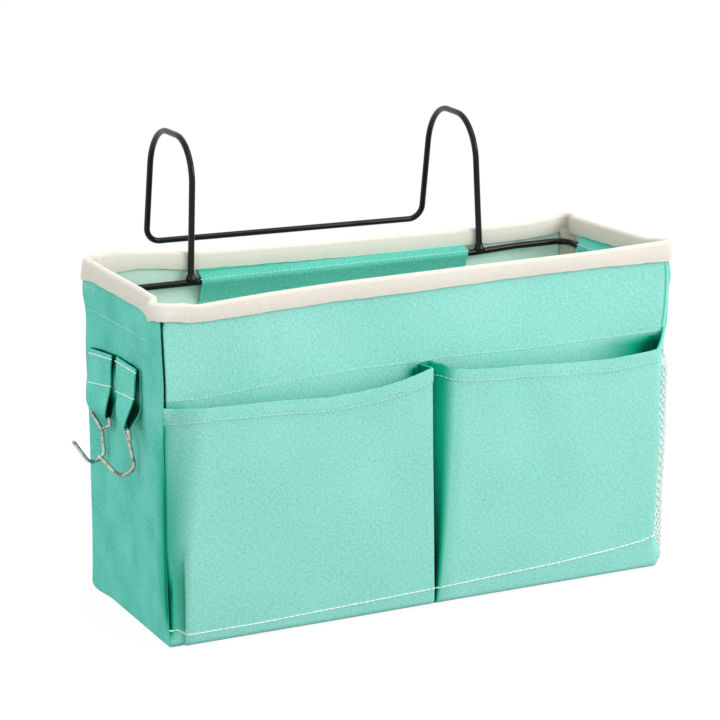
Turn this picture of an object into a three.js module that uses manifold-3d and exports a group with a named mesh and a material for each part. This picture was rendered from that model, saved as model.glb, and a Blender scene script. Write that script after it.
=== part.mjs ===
// Bedside caddy: a sewn cloth box that hangs from a bed rail on a bent wire frame.
// Millimetres, +Z up, the front faces -Y. The origin is the middle of the underside.
import * as THREE from "three";
import { mergeVertices } from "three/addons/utils/BufferGeometryUtils.js";
import Module from "manifold-3d";

// Cloth box
const boxWidth = 320;
const boxDepth = 118;
const boxHeight = 197;
const boxCornerRadius = 5;
const panelCloth = 1.4;
const boardThickness = 2;
const seatGap = 0.3;

// Rim tape folded over the top edge
const rimTapeCloth = 1;
const rimTapeHeight = 10.5;

// Tape over the inside corner seams
const cornerTapeWidth = 9;
const cornerTapeThickness = 1.4;

// Front pocket cloth: heights, how far it stands out, and the runs of its side folds
const pocketCloth = 1.1;
const pocketTopLeft = 139;
const pocketTopMiddle = 146;
const pocketTopRight = 147;
const pocketHem = 5;
const pocketBulge = 13;
const pocketFootBulge = 3.5;
const pocketSag = 4;
const pocketMiddle = 2;
const pocketMiddleSeam = 2.4;
const pocketEndSeam = 3;
const endFoldTop = 20;
const endFoldFoot = 6;
const middleFoldTop = 6;
const middleFoldFoot = 1.6;

// Mesh pocket on the right side
const netThickness = 0.8;
const netTop = 130;
const netHem = 6;
const netBulge = 10;
const netFootBulge = 2;
const netBorder = 3;
const netStrand = 1.6;
const netColumns = 10;
const netRows = 13;
const elasticHeight = 8;
const elasticThickness = 2;

// Black wire frame: a U in the box, and the hanger on its back bar
const wireDiameter = 4;
const frameDrop = 8.5;
const frameBendRadius = 12;
const frameArmReach = 88;
const hangerLegSpan = 192;
const hangerRearSpan = 192;
const hangerRightLean = 4;
const hangerRise = 83;
const hangerReach = 63;
const hangerRearFlare = 12;
const hangerRearRise = 9.5;
const hangerFootBend = 12;
const weldRadius = 3.6;
const weldHeight = 3;
const weldShoulderRadius = 3;
const weldShoulderHeight = 1.4;

// Cloth sleeves that hold the frame
const sleeveCloth = 0.9;
const sleeveStitchAbove = 5.5;
const sleeveStitchBelow = 8.5;
const sleeveHemDepth = 3.5;
const backSleeveLeft = -91.5;
const backSleeveRight = 87;
const sideSleeveFront = -37;
const sleeveBendGap = 0.5;

// Hook tabs on the left side
const tabCloth = 1;
const tabWidth = 33;
const tabStitch = 131;
const tabSewn = 19;
const tabLoopClearance = 0.5;

// Wire hooks
const hookWire = 2.2;
const hookBarHalf = 13.5;
const hookEyeHalf = 15.5;
const hookEyeShoulder = 4;
const hookDrop = 10;
const hookShank = 13.5;
const hookThroatDrop = 6.5;
const hookThroat = 9;
const hookTipOut = 18;
const hookTipUp = 9;
const hookBend = 5;
const hookCornerBend = 2;

// Each hook's place along the side, drop of its bar below the tab's stitch, stand-off from the panel, sway of
// the tab's loop, room beside the gathered loop on the bar, and turn in degrees
const rearHook = { along: -33.2, drop: 18, standoff: 3.4, sway: 0, room: 2, turn: 0 };
const frontHook = { along: 5.4, drop: 13, standoff: 6, sway: 8, room: 5, turn: 14 };

const wireRadius = wireDiameter / 2;
const hookRadius = hookWire / 2;
const panelTop = boxHeight - rimTapeCloth - seatGap;
const rimTapeEdge = boxHeight - rimTapeHeight;
const boardTop = panelCloth + seatGap + boardThickness;
const frameHeight = rimTapeEdge - frameDrop;
const hangerTop = frameHeight + hangerRise;
const hangerRearHeight = frameHeight + hangerRearRise;
const sleeveUpperStitch = frameHeight + sleeveStitchAbove;
const sleeveLowerStitch = frameHeight - sleeveStitchBelow;
const sleeveHem = sleeveLowerStitch - sleeveHemDepth;
const tabTop = tabStitch + tabSewn;
const frameInset = panelCloth + rimTapeCloth + 2 * seatGap + wireRadius;
const frameSideX = boxWidth / 2 - frameInset;
const frameBackY = boxDepth / 2 - frameInset;
const boardInset = panelCloth + 2 * seatGap;
const sideSleeveBack = frameBackY - frameBendRadius - sleeveBendGap;

const wasm = await Module();
wasm.setup();

const mint = 0x8fdcc8;
const mintShade = 0x66c2ae;
const cream = 0xf0eadf;

function finish(color, roughness, metalness = 0) {
  return new THREE.MeshStandardMaterial({ color, roughness, metalness });
}

// Closed solid of a geometry, for cutting and joining
function solidOf(geometry) {
  const bare = new THREE.BufferGeometry();
  const plain = geometry.index ? geometry.toNonIndexed() : geometry;
  bare.setAttribute("position", plain.getAttribute("position"));
  const merged = mergeVertices(bare, 1e-4);
  const mesh = new wasm.Mesh({
    numProp: 3,
    vertProperties: merged.attributes.position.array,
    triVerts: new Uint32Array(merged.index.array),
  });
  return new wasm.Manifold(mesh);
}

function geometryOf(solid) {
  const mesh = solid.getMesh();
  const geometry = new THREE.BufferGeometry();
  geometry.setAttribute("position", new THREE.BufferAttribute(mesh.vertProperties, 3));
  geometry.setIndex(new THREE.BufferAttribute(mesh.triVerts, 1));
  return geometry;
}

// Rounded rectangle in plan, drawn about the middle of the box
function roundedOutline(width, depth, radius, Kind = THREE.Shape) {
  const x = width / 2 - radius;
  const y = depth / 2 - radius;
  const outline = new Kind();
  outline.absarc(x, -y, radius, -Math.PI / 2, 0);
  outline.absarc(x, y, radius, 0, Math.PI / 2);
  outline.absarc(-x, y, radius, Math.PI / 2, Math.PI);
  outline.absarc(-x, -y, radius, Math.PI, 1.5 * Math.PI);
  outline.closePath();
  return outline;
}

function boxOutline(inset, Kind) {
  return roundedOutline(boxWidth - 2 * inset, boxDepth - 2 * inset, boxCornerRadius - inset, Kind);
}

// Upright body over a plan outline
function upright(outline, low, high, curveSegments = 5) {
  const depth = high - low;
  const body = new THREE.ExtrudeGeometry(outline, { depth, bevelEnabled: false, curveSegments });
  return body.translate(0, 0, low);
}

// Frame of a wall seen from outside: along to the right, up, and out from its outer face
function wallFrame(out, distance) {
  const up = new THREE.Vector3(0, 0, 1);
  const along = new THREE.Vector3().crossVectors(up, out);
  const point = (s, z, n) =>
    new THREE.Vector3().addScaledVector(along, s).addScaledVector(up, z).addScaledVector(out, distance + n);
  return { along, up, out, distance, point };
}

const frontWall = wallFrame(new THREE.Vector3(0, -1, 0), boxDepth / 2);
const backWall = wallFrame(new THREE.Vector3(0, 1, 0), boxDepth / 2);
const leftWall = wallFrame(new THREE.Vector3(-1, 0, 0), boxWidth / 2);
const rightWall = wallFrame(new THREE.Vector3(1, 0, 0), boxWidth / 2);

// Line beside an open line, so that a sheet of even thickness lies between the two
function besideLine(points, distance) {
  const last = points.length - 1;
  const normal = (i) => {
    const step = points[i + 1].clone().sub(points[i]).normalize();
    return new THREE.Vector2(-step.y, step.x);
  };
  return points.map((point, i) => {
    const before = normal(Math.max(i - 1, 0));
    const after = normal(Math.min(i, last - 1));
    const reach = distance / (1 + before.dot(after));
    return before.add(after).multiplyScalar(reach).add(point);
  });
}

// Body of a sheet from its outer and inner grids of points, rows upwards and columns along
function sheetBody(outer, inner) {
  const rows = outer.length;
  const columns = outer[0].length;
  const near = (r, c) => r * columns + c;
  const far = (r, c) => rows * columns + near(r, c);
  const index = [];
  const quad = (a, b, c, d) => index.push(a, b, c, a, c, d);
  for (let r = 0; r < rows - 1; r++) {
    for (let c = 0; c < columns - 1; c++) {
      quad(near(r, c), near(r, c + 1), near(r + 1, c + 1), near(r + 1, c));
      quad(far(r, c), far(r + 1, c), far(r + 1, c + 1), far(r, c + 1));
    }
    quad(near(r, 0), near(r + 1, 0), far(r + 1, 0), far(r, 0));
    quad(near(r, columns - 1), far(r, columns - 1), far(r + 1, columns - 1), near(r + 1, columns - 1));
  }
  for (let c = 0; c < columns - 1; c++) {
    quad(near(0, c), far(0, c), far(0, c + 1), near(0, c + 1));
    quad(near(rows - 1, c), near(rows - 1, c + 1), far(rows - 1, c + 1), far(rows - 1, c));
  }
  const body = new THREE.BufferGeometry();
  body.setFromPoints([...outer.flat(), ...inner.flat()]);
  body.setIndex(index);
  return body;
}

// Path of a bent wire: one station at each end of a straight or where it has no bend, several round a bend
class BentPath extends THREE.Curve {
  constructor(corners) {
    super();
    this.stations = [corners[0].at];
    for (let i = 1; i < corners.length - 1; i++) {
      if (corners[i].radius) {
        this.addBend(corners[i - 1].at, corners[i], corners[i + 1].at);
      } else {
        this.stations.push(corners[i].at);
      }
    }
    this.stations.push(corners[corners.length - 1].at);
  }

  addBend(before, corner, after) {
    const back = before.clone().sub(corner.at).normalize();
    const on = after.clone().sub(corner.at).normalize();
    const half = back.angleTo(on) / 2;
    const turn = Math.PI - 2 * half;
    const middle = back.clone().add(on).normalize();
    const centre = corner.at.clone().addScaledVector(middle, corner.radius / Math.sin(half));
    const start = corner.at.clone().addScaledVector(back, corner.radius / Math.tan(half));
    const spoke = start.sub(centre);
    const steps = Math.max(2, Math.ceil(turn / (Math.PI / 14)));
    for (let k = 0; k <= steps; k++) {
      const angle = (turn * k) / steps;
      const station = centre.clone().addScaledVector(spoke, Math.cos(angle));
      this.stations.push(station.addScaledVector(back, -corner.radius * Math.sin(angle)));
    }
  }

  get steps() {
    return this.stations.length - 1;
  }

  getPointAt(u) {
    return this.stations[Math.round(u * this.steps)].clone();
  }

  getTangentAt(u) {
    const i = Math.round(u * this.steps);
    const before = this.stations[Math.max(i - 1, 0)];
    const here = this.stations[i];
    const after = this.stations[Math.min(i + 1, this.steps)];
    const arriving = here.clone().sub(before).normalize();
    return arriving.add(after.clone().sub(here).normalize()).normalize();
  }
}

function wireBody(corners, diameter, sides) {
  const path = new BentPath(corners);
  const ring = [];
  for (let i = 0; i < sides; i++) {
    const angle = (2 * Math.PI * i) / sides;
    ring.push(new THREE.Vector2(Math.cos(angle), Math.sin(angle)).multiplyScalar(diameter / 2));
  }
  const section = new THREE.Shape(ring);
  return new THREE.ExtrudeGeometry(section, { steps: path.steps, extrudePath: path, bevelEnabled: false });
}

// Wall panel: flat, and at each upright edge it turns half-way round the corner to the seam
function panelBody(wall, length) {
  const end = length / 2 - boxCornerRadius;
  const inner = boxCornerRadius - panelCloth;
  const seam = seatGap / 2 / (boxCornerRadius - panelCloth / 2);
  const down = -Math.PI / 2;
  const right = -Math.PI / 4 - seam;
  const left = -0.75 * Math.PI + seam;
  const plan = new THREE.Shape();
  plan.absarc(end, boxCornerRadius, boxCornerRadius, down, right, false);
  plan.absarc(end, boxCornerRadius, inner, right, down, true);
  plan.absarc(-end, boxCornerRadius, inner, down, left, true);
  plan.absarc(-end, boxCornerRadius, boxCornerRadius, left, down, false);
  plan.closePath();
  const body = upright(plan, 0, panelTop, 4).translate(0, -wall.distance, 0);
  return body.rotateZ(Math.atan2(wall.out.x, -wall.out.y));
}

function bottomBody(inset, low, high) {
  return upright(boxOutline(inset), low, high);
}

// Rim tape: a closed loop with a groove that takes the top edges of the panels
function rimTapeBody() {
  const outside = boxOutline(-seatGap - rimTapeCloth);
  outside.holes.push(boxOutline(panelCloth + seatGap + rimTapeCloth, THREE.Path));
  const groove = boxOutline(-seatGap);
  groove.holes.push(boxOutline(panelCloth + seatGap, THREE.Path));
  const tape = solidOf(upright(outside, rimTapeEdge, boxHeight));
  const cut = solidOf(upright(groove, rimTapeEdge - 1, panelTop + seatGap));
  return geometryOf(tape.subtract(cut));
}

// Strip across an inside corner, over the seam of the two panels that meet there
function cornerTapeBody(sideX, sideY) {
  const clear = Math.SQRT2 * (panelCloth + seatGap) + cornerTapeWidth / 2;
  const half = cornerTapeWidth / 2;
  const outline = new THREE.Shape();
  outline.moveTo(-half, clear);
  outline.lineTo(half, clear);
  outline.lineTo(half - cornerTapeThickness, clear + cornerTapeThickness);
  outline.lineTo(-half + cornerTapeThickness, clear + cornerTapeThickness);
  outline.closePath();
  const strip = upright(outline, boardTop + seatGap, rimTapeEdge - seatGap);
  strip.rotateZ(Math.atan2(sideX, -sideY));
  return strip.translate((sideX * boxWidth) / 2, (sideY * boxDepth) / 2, 0);
}

// One pocket bay between two seams: a soft turn at the box corner, a crisp fold at the middle seam
function pocketBay(corner, middle, topCorner, topMiddle, level) {
  const stand = level === 0 ? 0 : pocketFootBulge + (pocketBulge - pocketFootBulge) * level;
  const way = Math.sign(middle - corner);
  const soft = corner + way * (endFoldFoot + (endFoldTop - endFoldFoot) * level);
  const crisp = middle - way * (middleFoldFoot + (middleFoldTop - middleFoldFoot) * level);
  const spots = [];
  const put = (s, n) => {
    const share = (s - corner) / (middle - corner);
    const top = topCorner + (topMiddle - topCorner) * share - pocketSag * Math.sin(Math.PI * share);
    spots.push({ s, n: seatGap + n, z: pocketHem + (top - pocketHem) * level });
  };
  const turnSteps = 4;
  for (let k = 0; k < turnSteps; k++) {
    const share = k / turnSteps;
    put(corner + (soft - corner) * share, stand * Math.sin((Math.PI / 2) * share));
  }
  const faceSteps = 5;
  for (let k = 0; k <= faceSteps; k++) {
    put(soft + ((crisp - soft) * k) / faceSteps, stand);
  }
  put(middle, 0);
  return way > 0 ? spots : spots.reverse();
}

// One cloth that makes both front pockets: sewn down at the ends, the middle and the hem
function pocketBody() {
  const end = boxWidth / 2 - boxCornerRadius - seatGap;
  const leftSeam = pocketMiddle - pocketMiddleSeam / 2;
  const rightSeam = pocketMiddle + pocketMiddleSeam / 2;
  const outer = [];
  const inner = [];
  for (const level of [0, 0.045, 0.26, 0.5, 0.75, 1]) {
    const flat = (s, top) => ({ s, n: seatGap, z: pocketHem + (top - pocketHem) * level });
    const spots = [
      flat(-end, pocketTopLeft),
      ...pocketBay(pocketEndSeam - end, leftSeam, pocketTopLeft, pocketTopMiddle, level),
      ...pocketBay(end - pocketEndSeam, rightSeam, pocketTopRight, pocketTopMiddle, level),
      flat(end, pocketTopRight),
    ];
    const line = spots.map((spot) => new THREE.Vector2(spot.s, spot.n));
    const place = (p, i) => frontWall.point(p.x, spots[i].z, p.y);
    inner.push(line.map(place));
    outer.push(besideLine(line, pocketCloth).map(place));
  }
  return sheetBody(outer, inner);
}

// Mesh pocket: how far it stands out at a share of its half length and at a height
function netStand(share, z) {
  const level = (z - netHem) / (netTop - netHem);
  const stand = netFootBulge + (netBulge - netFootBulge) * level;
  return seatGap + stand * (1 - Math.pow(Math.abs(share), 4));
}

const netHalf = boxDepth / 2 - boxCornerRadius - seatGap;

function netPoint(s, z, extra) {
  return rightWall.point(s, z, netStand(s / netHalf, z) + extra);
}

// Stations across a net: a border, then even cells, then a border
function netStations(low, high, cells) {
  const stations = [low];
  for (let i = 0; i <= cells; i++) {
    stations.push(low + netBorder + ((high - low - 2 * netBorder) * i) / cells);
  }
  stations.push(high);
  return stations;
}

function netBody() {
  const across = netStations(-netHalf, netHalf, netColumns);
  const upward = netStations(netHem, netTop, netRows);
  const positions = [];
  const both = (points) => {
    const side = (extra, order) => {
      const placed = points.map(([s, z]) => netPoint(s, z, extra));
      order.forEach((i) => positions.push(...placed[i].toArray()));
    };
    side(netThickness, [0, 1, 2, 0, 2, 3]);
    side(0, [0, 2, 1, 0, 3, 2]);
  };
  const edge = ([s0, z0], [s1, z1]) => {
    const a = netPoint(s0, z0, netThickness);
    const b = netPoint(s1, z1, netThickness);
    const c = netPoint(s1, z1, 0);
    const d = netPoint(s0, z0, 0);
    [a, c, b, a, d, c].forEach((p) => positions.push(...p.toArray()));
  };
  const lastColumn = across.length - 2;
  const lastRow = upward.length - 2;
  for (let i = 0; i <= lastColumn; i++) {
    for (let j = 0; j <= lastRow; j++) {
      const cell = [
        [across[i], upward[j]],
        [across[i + 1], upward[j]],
        [across[i + 1], upward[j + 1]],
        [across[i], upward[j + 1]],
      ];
      if (j === 0) edge(cell[0], cell[1]);
      if (i === lastColumn) edge(cell[1], cell[2]);
      if (j === lastRow) edge(cell[2], cell[3]);
      if (i === 0) edge(cell[3], cell[0]);
      if (i === 0 || j === 0 || i === lastColumn || j === lastRow) {
        both(cell);
        continue;
      }
      const inset = netStrand / 2;
      const hole = [
        [cell[0][0] + inset, cell[0][1] + inset],
        [cell[1][0] - inset, cell[1][1] + inset],
        [cell[2][0] - inset, cell[2][1] - inset],
        [cell[3][0] + inset, cell[3][1] - inset],
      ];
      for (let k = 0; k < 4; k++) {
        const next = (k + 1) % 4;
        both([cell[k], cell[next], hole[next], hole[k]]);
        edge(hole[next], hole[k]);
      }
    }
  }
  const body = new THREE.BufferGeometry();
  body.setAttribute("position", new THREE.Float32BufferAttribute(positions, 3));
  return body;
}

// Elastic band that closes the top edge of the net
function elasticBody() {
  const low = netTop + seatGap;
  const cells = 12;
  const grid = (extra) =>
    [low, low + elasticHeight].map((z) => {
      const row = [];
      for (let i = 0; i <= cells; i++) {
        const share = -1 + (2 * i) / cells;
        row.push(rightWall.point(netHalf * share, z, netStand(share, netTop) + extra));
      }
      return row;
    });
  return sheetBody(grid(elasticThickness), grid(0));
}

// Sleeve over a straight wire: flat on the panel above and below, and round the wire between
function sleeveLine() {
  const lean = panelCloth + seatGap;
  const reach = wireRadius + seatGap;
  const point = (n, z) => new THREE.Vector2(-n, z);
  const tangent = (z, sense) => {
    const across = lean - frameInset;
    const rise = z - frameHeight;
    const far = Math.hypot(across, rise);
    return Math.atan2(rise, across) - sense * Math.acos(reach / far);
  };
  const high = tangent(sleeveUpperStitch, 1);
  const low = tangent(sleeveLowerStitch, -1);
  const line = [point(lean, rimTapeEdge - seatGap), point(lean, sleeveUpperStitch)];
  const steps = 6;
  for (let k = 0; k <= steps; k++) {
    const angle = high + ((low - high) * k) / steps;
    line.push(point(frameInset + reach * Math.cos(angle), frameHeight + reach * Math.sin(angle)));
  }
  line.push(point(lean, sleeveLowerStitch), point(lean, sleeveHem));
  return line;
}

function sleeveBody(wall, from, to) {
  const near = sleeveLine();
  const far = besideLine(near, -sleeveCloth);
  const ends = (p) => [wall.point(to, p.y, p.x), wall.point(from, p.y, p.x)];
  const grid = (line) => [...line].reverse().map(ends);
  return sheetBody(grid(far), grid(near));
}

// U of the support frame: the back bar and two arms that run forward inside the side sleeves
function frameBody() {
  const front = frameBackY - frameArmReach;
  const corner = (x, y, radius) => ({ at: new THREE.Vector3(x, y, frameHeight), radius });
  const corners = [
    corner(-frameSideX, front),
    corner(-frameSideX, frameBackY, frameBendRadius),
    corner(frameSideX, frameBackY, frameBendRadius),
    corner(frameSideX, front),
  ];
  return wireBody(corners, wireDiameter, 10);
}

// Hanger: one wire bent to two arches, with a bar behind the rail between them and welded feet
function hangerBody() {
  const footZ = frameHeight + wireRadius + seatGap;
  const crownY = frameBackY + hangerReach;
  const crownRadius = hangerReach / 2;
  const rearY = crownY + hangerRearFlare;
  const leg = (side, lean, z) => {
    const drift = (lean * (z - footZ)) / (hangerTop - footZ);
    return new THREE.Vector3((side * hangerLegSpan) / 2 - drift, frameBackY, z);
  };
  const half = (side, lean) => [
    { at: leg(side, lean, footZ) },
    { at: leg(side, lean, footZ + weldShoulderHeight) },
    { at: leg(side, lean, footZ + weldHeight) },
    { at: leg(side, lean, hangerTop), radius: crownRadius },
    { at: new THREE.Vector3((side * hangerRearSpan) / 2, crownY, hangerTop), radius: crownRadius },
    { at: new THREE.Vector3((side * hangerRearSpan) / 2, rearY, hangerRearHeight), radius: hangerFootBend },
  ];
  const left = half(-1, 0);
  const right = half(1, hangerRightLean).reverse();
  const hanger = wireBody([...left, ...right], wireDiameter, 10);
  const spots = hanger.getAttribute("position");
  for (let i = 0; i < spots.count; i++) {
    const rise = spots.getZ(i) - footZ;
    if (spots.getY(i) > frameBackY + crownRadius || rise > (weldHeight + weldShoulderHeight) / 2) continue;
    const atFoot = rise < weldShoulderHeight / 2;
    const swell = (atFoot ? weldRadius : weldShoulderRadius) / wireRadius;
    const axisX = spots.getX(i) < 0 ? leg(-1, 0, spots.getZ(i)).x : leg(1, hangerRightLean, spots.getZ(i)).x;
    const x = axisX + (spots.getX(i) - axisX) * swell;
    const y = frameBackY + (spots.getY(i) - frameBackY) * swell;
    spots.setXYZ(i, x, y, atFoot ? footZ : spots.getZ(i));
  }
  return hanger;
}

// Cloth tab folded to a loop round the bar of its hook, sewn to the left panel above the loop
function tabBody(place) {
  const hole = hookRadius + tabLoopClearance;
  const outside = hole + tabCloth;
  const barZ = tabStitch - place.drop;
  const bar = new THREE.Vector2(place.standoff, barZ);
  const foldPoints = (radius, backTop, frontTop, steps) => {
    const touch = (top, sense) => {
      const away = top.clone().sub(bar);
      return away.angle() + sense * Math.acos(radius / away.length());
    };
    const start = touch(backTop, 1);
    const stop = touch(frontTop, -1) + 2 * Math.PI;
    const points = [];
    for (let k = 0; k <= steps; k++) {
      const angle = start + ((stop - start) * k) / steps;
      points.push(new THREE.Vector2(Math.cos(angle), Math.sin(angle)).multiplyScalar(radius).add(bar));
    }
    return points;
  };
  const seam = seatGap + 2 * tabCloth;
  const outline = new THREE.Shape([
    new THREE.Vector2(seam, tabTop),
    new THREE.Vector2(seatGap, tabTop),
    new THREE.Vector2(seatGap, tabStitch),
    ...foldPoints(outside, new THREE.Vector2(seatGap, tabStitch), new THREE.Vector2(seam, tabStitch), 8),
    new THREE.Vector2(seam, tabStitch),
  ]);
  const tip = new THREE.Vector2(seatGap + tabCloth, tabStitch - 2 * tabCloth);
  outline.holes.push(new THREE.Path([tip, ...foldPoints(hole, tip, tip, 8)]));
  const steps = 4;
  const loop = new THREE.ExtrudeGeometry(outline, { depth: 1, steps, bevelEnabled: false });
  const spots = loop.getAttribute("position");
  const turn = THREE.MathUtils.degToRad(place.turn);
  for (let i = 0; i < spots.count; i++) {
    const n = spots.getX(i);
    const z = spots.getY(i);
    const fall = THREE.MathUtils.clamp((tabStitch - z) / (place.drop - outside), 0, 1);
    const half = tabWidth / 2 + (hookBarHalf - place.room - tabWidth / 2) * fall;
    const s = half * (1 - 2 * spots.getZ(i));
    const swing = turn * fall;
    const out = n - place.standoff;
    const along = s * Math.cos(swing) - out * Math.sin(swing);
    const away = s * Math.sin(swing) + out * Math.cos(swing) + place.standoff;
    const spot = leftWall.point(place.along + place.sway * fall + along, z, away);
    spots.setXYZ(i, spot.x, spot.y, spot.z);
  }
  return loop;
}

// Lean that brings the foot of a hanging hook's shank against the panel
function hookLean(place) {
  const room = place.standoff - hookRadius - 2 * seatGap;
  return Math.asin(room / (hookDrop + hookShank));
}

// Wire hook: a closed eye round the tab, a shank and an open throat with a raised tip
function hookBody(place) {
  const lean = hookLean(place);
  const barZ = tabStitch - place.drop;
  const turn = THREE.MathUtils.degToRad(place.turn);
  const spot = (u, v, w) => {
    const high = v * Math.cos(lean) - w * Math.sin(lean);
    const away = v * Math.sin(lean) + w * Math.cos(lean);
    const along = u * Math.cos(turn) - away * Math.sin(turn);
    const out = u * Math.sin(turn) + away * Math.cos(turn);
    return leftWall.point(place.along + place.sway + along, barZ + high, place.standoff + out);
  };
  const foot = -hookDrop - hookShank;
  const endGap = hookWire + 2 * seatGap;
  const slope = (hookDrop - hookEyeShoulder) / hookEyeHalf;
  const corners = [
    { at: spot(endGap, endGap * slope - hookDrop, 0) },
    { at: spot(hookEyeHalf, -hookEyeShoulder, 0), radius: hookCornerBend },
    { at: spot(hookBarHalf, 0, 0), radius: hookCornerBend },
    { at: spot(-hookBarHalf, 0, 0), radius: hookCornerBend },
    { at: spot(-hookEyeHalf, -hookEyeShoulder, 0), radius: hookCornerBend },
    { at: spot(0, -hookDrop, 0), radius: hookBend },
    { at: spot(0, foot - hookThroatDrop / 2, 0), radius: hookBend },
    { at: spot(0, foot - hookThroatDrop, hookThroat), radius: hookBend },
    { at: spot(0, foot + hookTipUp, hookTipOut) },
  ];
  return wireBody(corners, hookWire, 8);
}

const caddy = new THREE.Group();

function add(name, geometry, material) {
  const mesh = new THREE.Mesh(geometry, material);
  mesh.name = name;
  caddy.add(mesh);
}

add("front_panel", panelBody(frontWall, boxWidth), finish(mint, 0.9));
add("back_panel", panelBody(backWall, boxWidth), finish(mint, 0.9));
add("left_panel", panelBody(leftWall, boxDepth), finish(mintShade, 0.9));
add("right_panel", panelBody(rightWall, boxDepth), finish(mint, 0.9));
add("bottom_panel", bottomBody(panelCloth + seatGap, 0, panelCloth), finish(mintShade, 0.9));
add("bottom_board", bottomBody(boardInset, panelCloth + seatGap, boardTop), finish(0xe9ece8, 0.7));
add("rim_binding", rimTapeBody(), finish(cream, 0.9));
for (const [depthName, y] of [["front", -1], ["back", 1]]) {
  for (const [sideName, x] of [["left", -1], ["right", 1]]) {
    add("corner_binding_" + depthName + "_" + sideName, cornerTapeBody(x, y), finish(cream, 0.9));
  }
}
add("front_pocket_cloth", pocketBody(), finish(mint, 0.9));
add("mesh_pocket_net", netBody(), finish(0xf4f6f5, 0.7));
add("mesh_pocket_elastic", elasticBody(), finish(cream, 0.9));
add("support_frame", frameBody(), finish(0x17181a, 0.35, 0.2));
add("wire_hanger", hangerBody(), finish(0x17181a, 0.35, 0.2));
add("back_wire_sleeve", sleeveBody(backWall, -backSleeveRight, -backSleeveLeft), finish(mint, 0.9));
add("left_wire_sleeve", sleeveBody(leftWall, -sideSleeveBack, -sideSleeveFront), finish(mint, 0.9));
add("right_wire_sleeve", sleeveBody(rightWall, sideSleeveFront, sideSleeveBack), finish(mint, 0.9));
add("rear_hook_tab", tabBody(rearHook), finish(mintShade, 0.9));
add("front_hook_tab", tabBody(frontHook), finish(mintShade, 0.9));
add("rear_hook", hookBody(rearHook), finish(0xc9c5ba, 0.25, 1));
add("front_hook", hookBody(frontHook), finish(0xc9c5ba, 0.25, 1));

export default caddy;
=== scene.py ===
"""Bedside caddy: the look of a sewn cloth box that hangs from a bed rail on a bent wire frame.

Lengths in this file are millimetres, apart from the floor's, the lamps' and the camera's range, in metres.
Meshes are written in metres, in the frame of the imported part.
"""
import logging
import math
from dataclasses import dataclass, field
from enum import Enum
from typing import Sequence

import bpy
import numpy as np
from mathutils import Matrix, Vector


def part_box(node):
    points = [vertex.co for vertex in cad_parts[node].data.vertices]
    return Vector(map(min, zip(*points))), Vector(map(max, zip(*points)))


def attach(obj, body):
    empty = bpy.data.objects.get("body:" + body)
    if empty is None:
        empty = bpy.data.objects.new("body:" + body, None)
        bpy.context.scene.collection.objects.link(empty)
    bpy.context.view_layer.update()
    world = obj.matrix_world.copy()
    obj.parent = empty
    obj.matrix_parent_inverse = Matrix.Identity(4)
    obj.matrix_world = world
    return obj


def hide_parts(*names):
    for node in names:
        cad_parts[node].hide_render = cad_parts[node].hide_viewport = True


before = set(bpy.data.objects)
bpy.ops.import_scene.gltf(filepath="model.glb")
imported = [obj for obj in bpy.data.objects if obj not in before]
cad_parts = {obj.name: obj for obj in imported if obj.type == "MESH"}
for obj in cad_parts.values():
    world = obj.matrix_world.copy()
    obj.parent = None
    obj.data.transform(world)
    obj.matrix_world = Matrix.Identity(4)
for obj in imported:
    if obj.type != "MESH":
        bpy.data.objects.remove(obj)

LOG = logging.getLogger("bedside_caddy")
MM = 0.001
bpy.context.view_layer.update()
CADDY = "caddy"
# How much higher the frame wire lies at the right side.
RIGHT_RISE = 1.4
Grid = np.ndarray
Socket = bpy.types.NodeSocket
Table = tuple[tuple[float, float], ...]


class Wall(Enum):
    """The four walls in the order met going round the box, anticlockwise from above."""

    FRONT = 0
    RIGHT = 1
    BACK = 2
    LEFT = 3

    @property
    def along(self) -> np.ndarray:
        """Direction to the right, seen from outside."""
        turn = self.value * math.pi / 2
        return np.array([round(math.cos(turn)), round(math.sin(turn)), 0.0])

    @property
    def out(self) -> np.ndarray:
        """Direction away from the box."""
        turn = self.value * math.pi / 2
        return np.array([round(math.sin(turn)), -round(math.cos(turn)), 0.0])

    @property
    def next(self) -> "Wall":
        """The wall that follows at this wall's right-hand end."""
        return Wall((self.value + 1) % len(Wall))


class Slot(Enum):
    """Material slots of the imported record."""

    CLOTH = "mint_cloth"
    TAPE = "cream_tape"
    NET = "white_net"
    BOARD = "board"
    WIRE = "black_wire"
    PLATED = "plated_wire"


def smooth(low: float, high: float, value: Grid | float) -> Grid | float:
    """Smooth step from 0 at low to 1 at high."""
    share = np.clip((value - low) / (high - low), 0, 1)
    return share * share * (3 - 2 * share)


def bump(value: Grid | float, middle: float, width: float) -> Grid | float:
    """Bell of height 1 about a middle."""
    return np.exp(-(((value - middle) / width) ** 2))


def look_up(table: Table, place: Grid | float) -> Grid | float:
    """Value of a table at a place."""
    spots = np.array(table, float)
    return np.interp(place, spots[:, 0], spots[:, 1])


def linear(colour: str) -> tuple[float, float, float, float]:
    """Linear colour of an sRGB hex value.

    Args:
        colour: Six hex digits after a hash sign.

    Returns:
        Red, green, blue and an alpha of 1.
    """
    parts = [int(colour[i : i + 2], 16) / 255 for i in (1, 3, 5)]
    return (*(p / 12.92 if p <= 0.04045 else ((p + 0.055) / 1.055) ** 2.4 for p in parts), 1.0)


def feed(tree: bpy.types.NodeTree, node: bpy.types.Node, inputs: dict) -> None:
    """Links sockets to a node's inputs, and sets its other inputs to their values.

    Args:
        tree: Tree that holds the node.
        node: The node.
        inputs: Socket name or number, and the value or the socket that feeds it.
    """
    for key, value in inputs.items():
        if isinstance(value, Socket):
            tree.links.new(value, node.inputs[key])
        else:
            node.inputs[key].default_value = value


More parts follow.
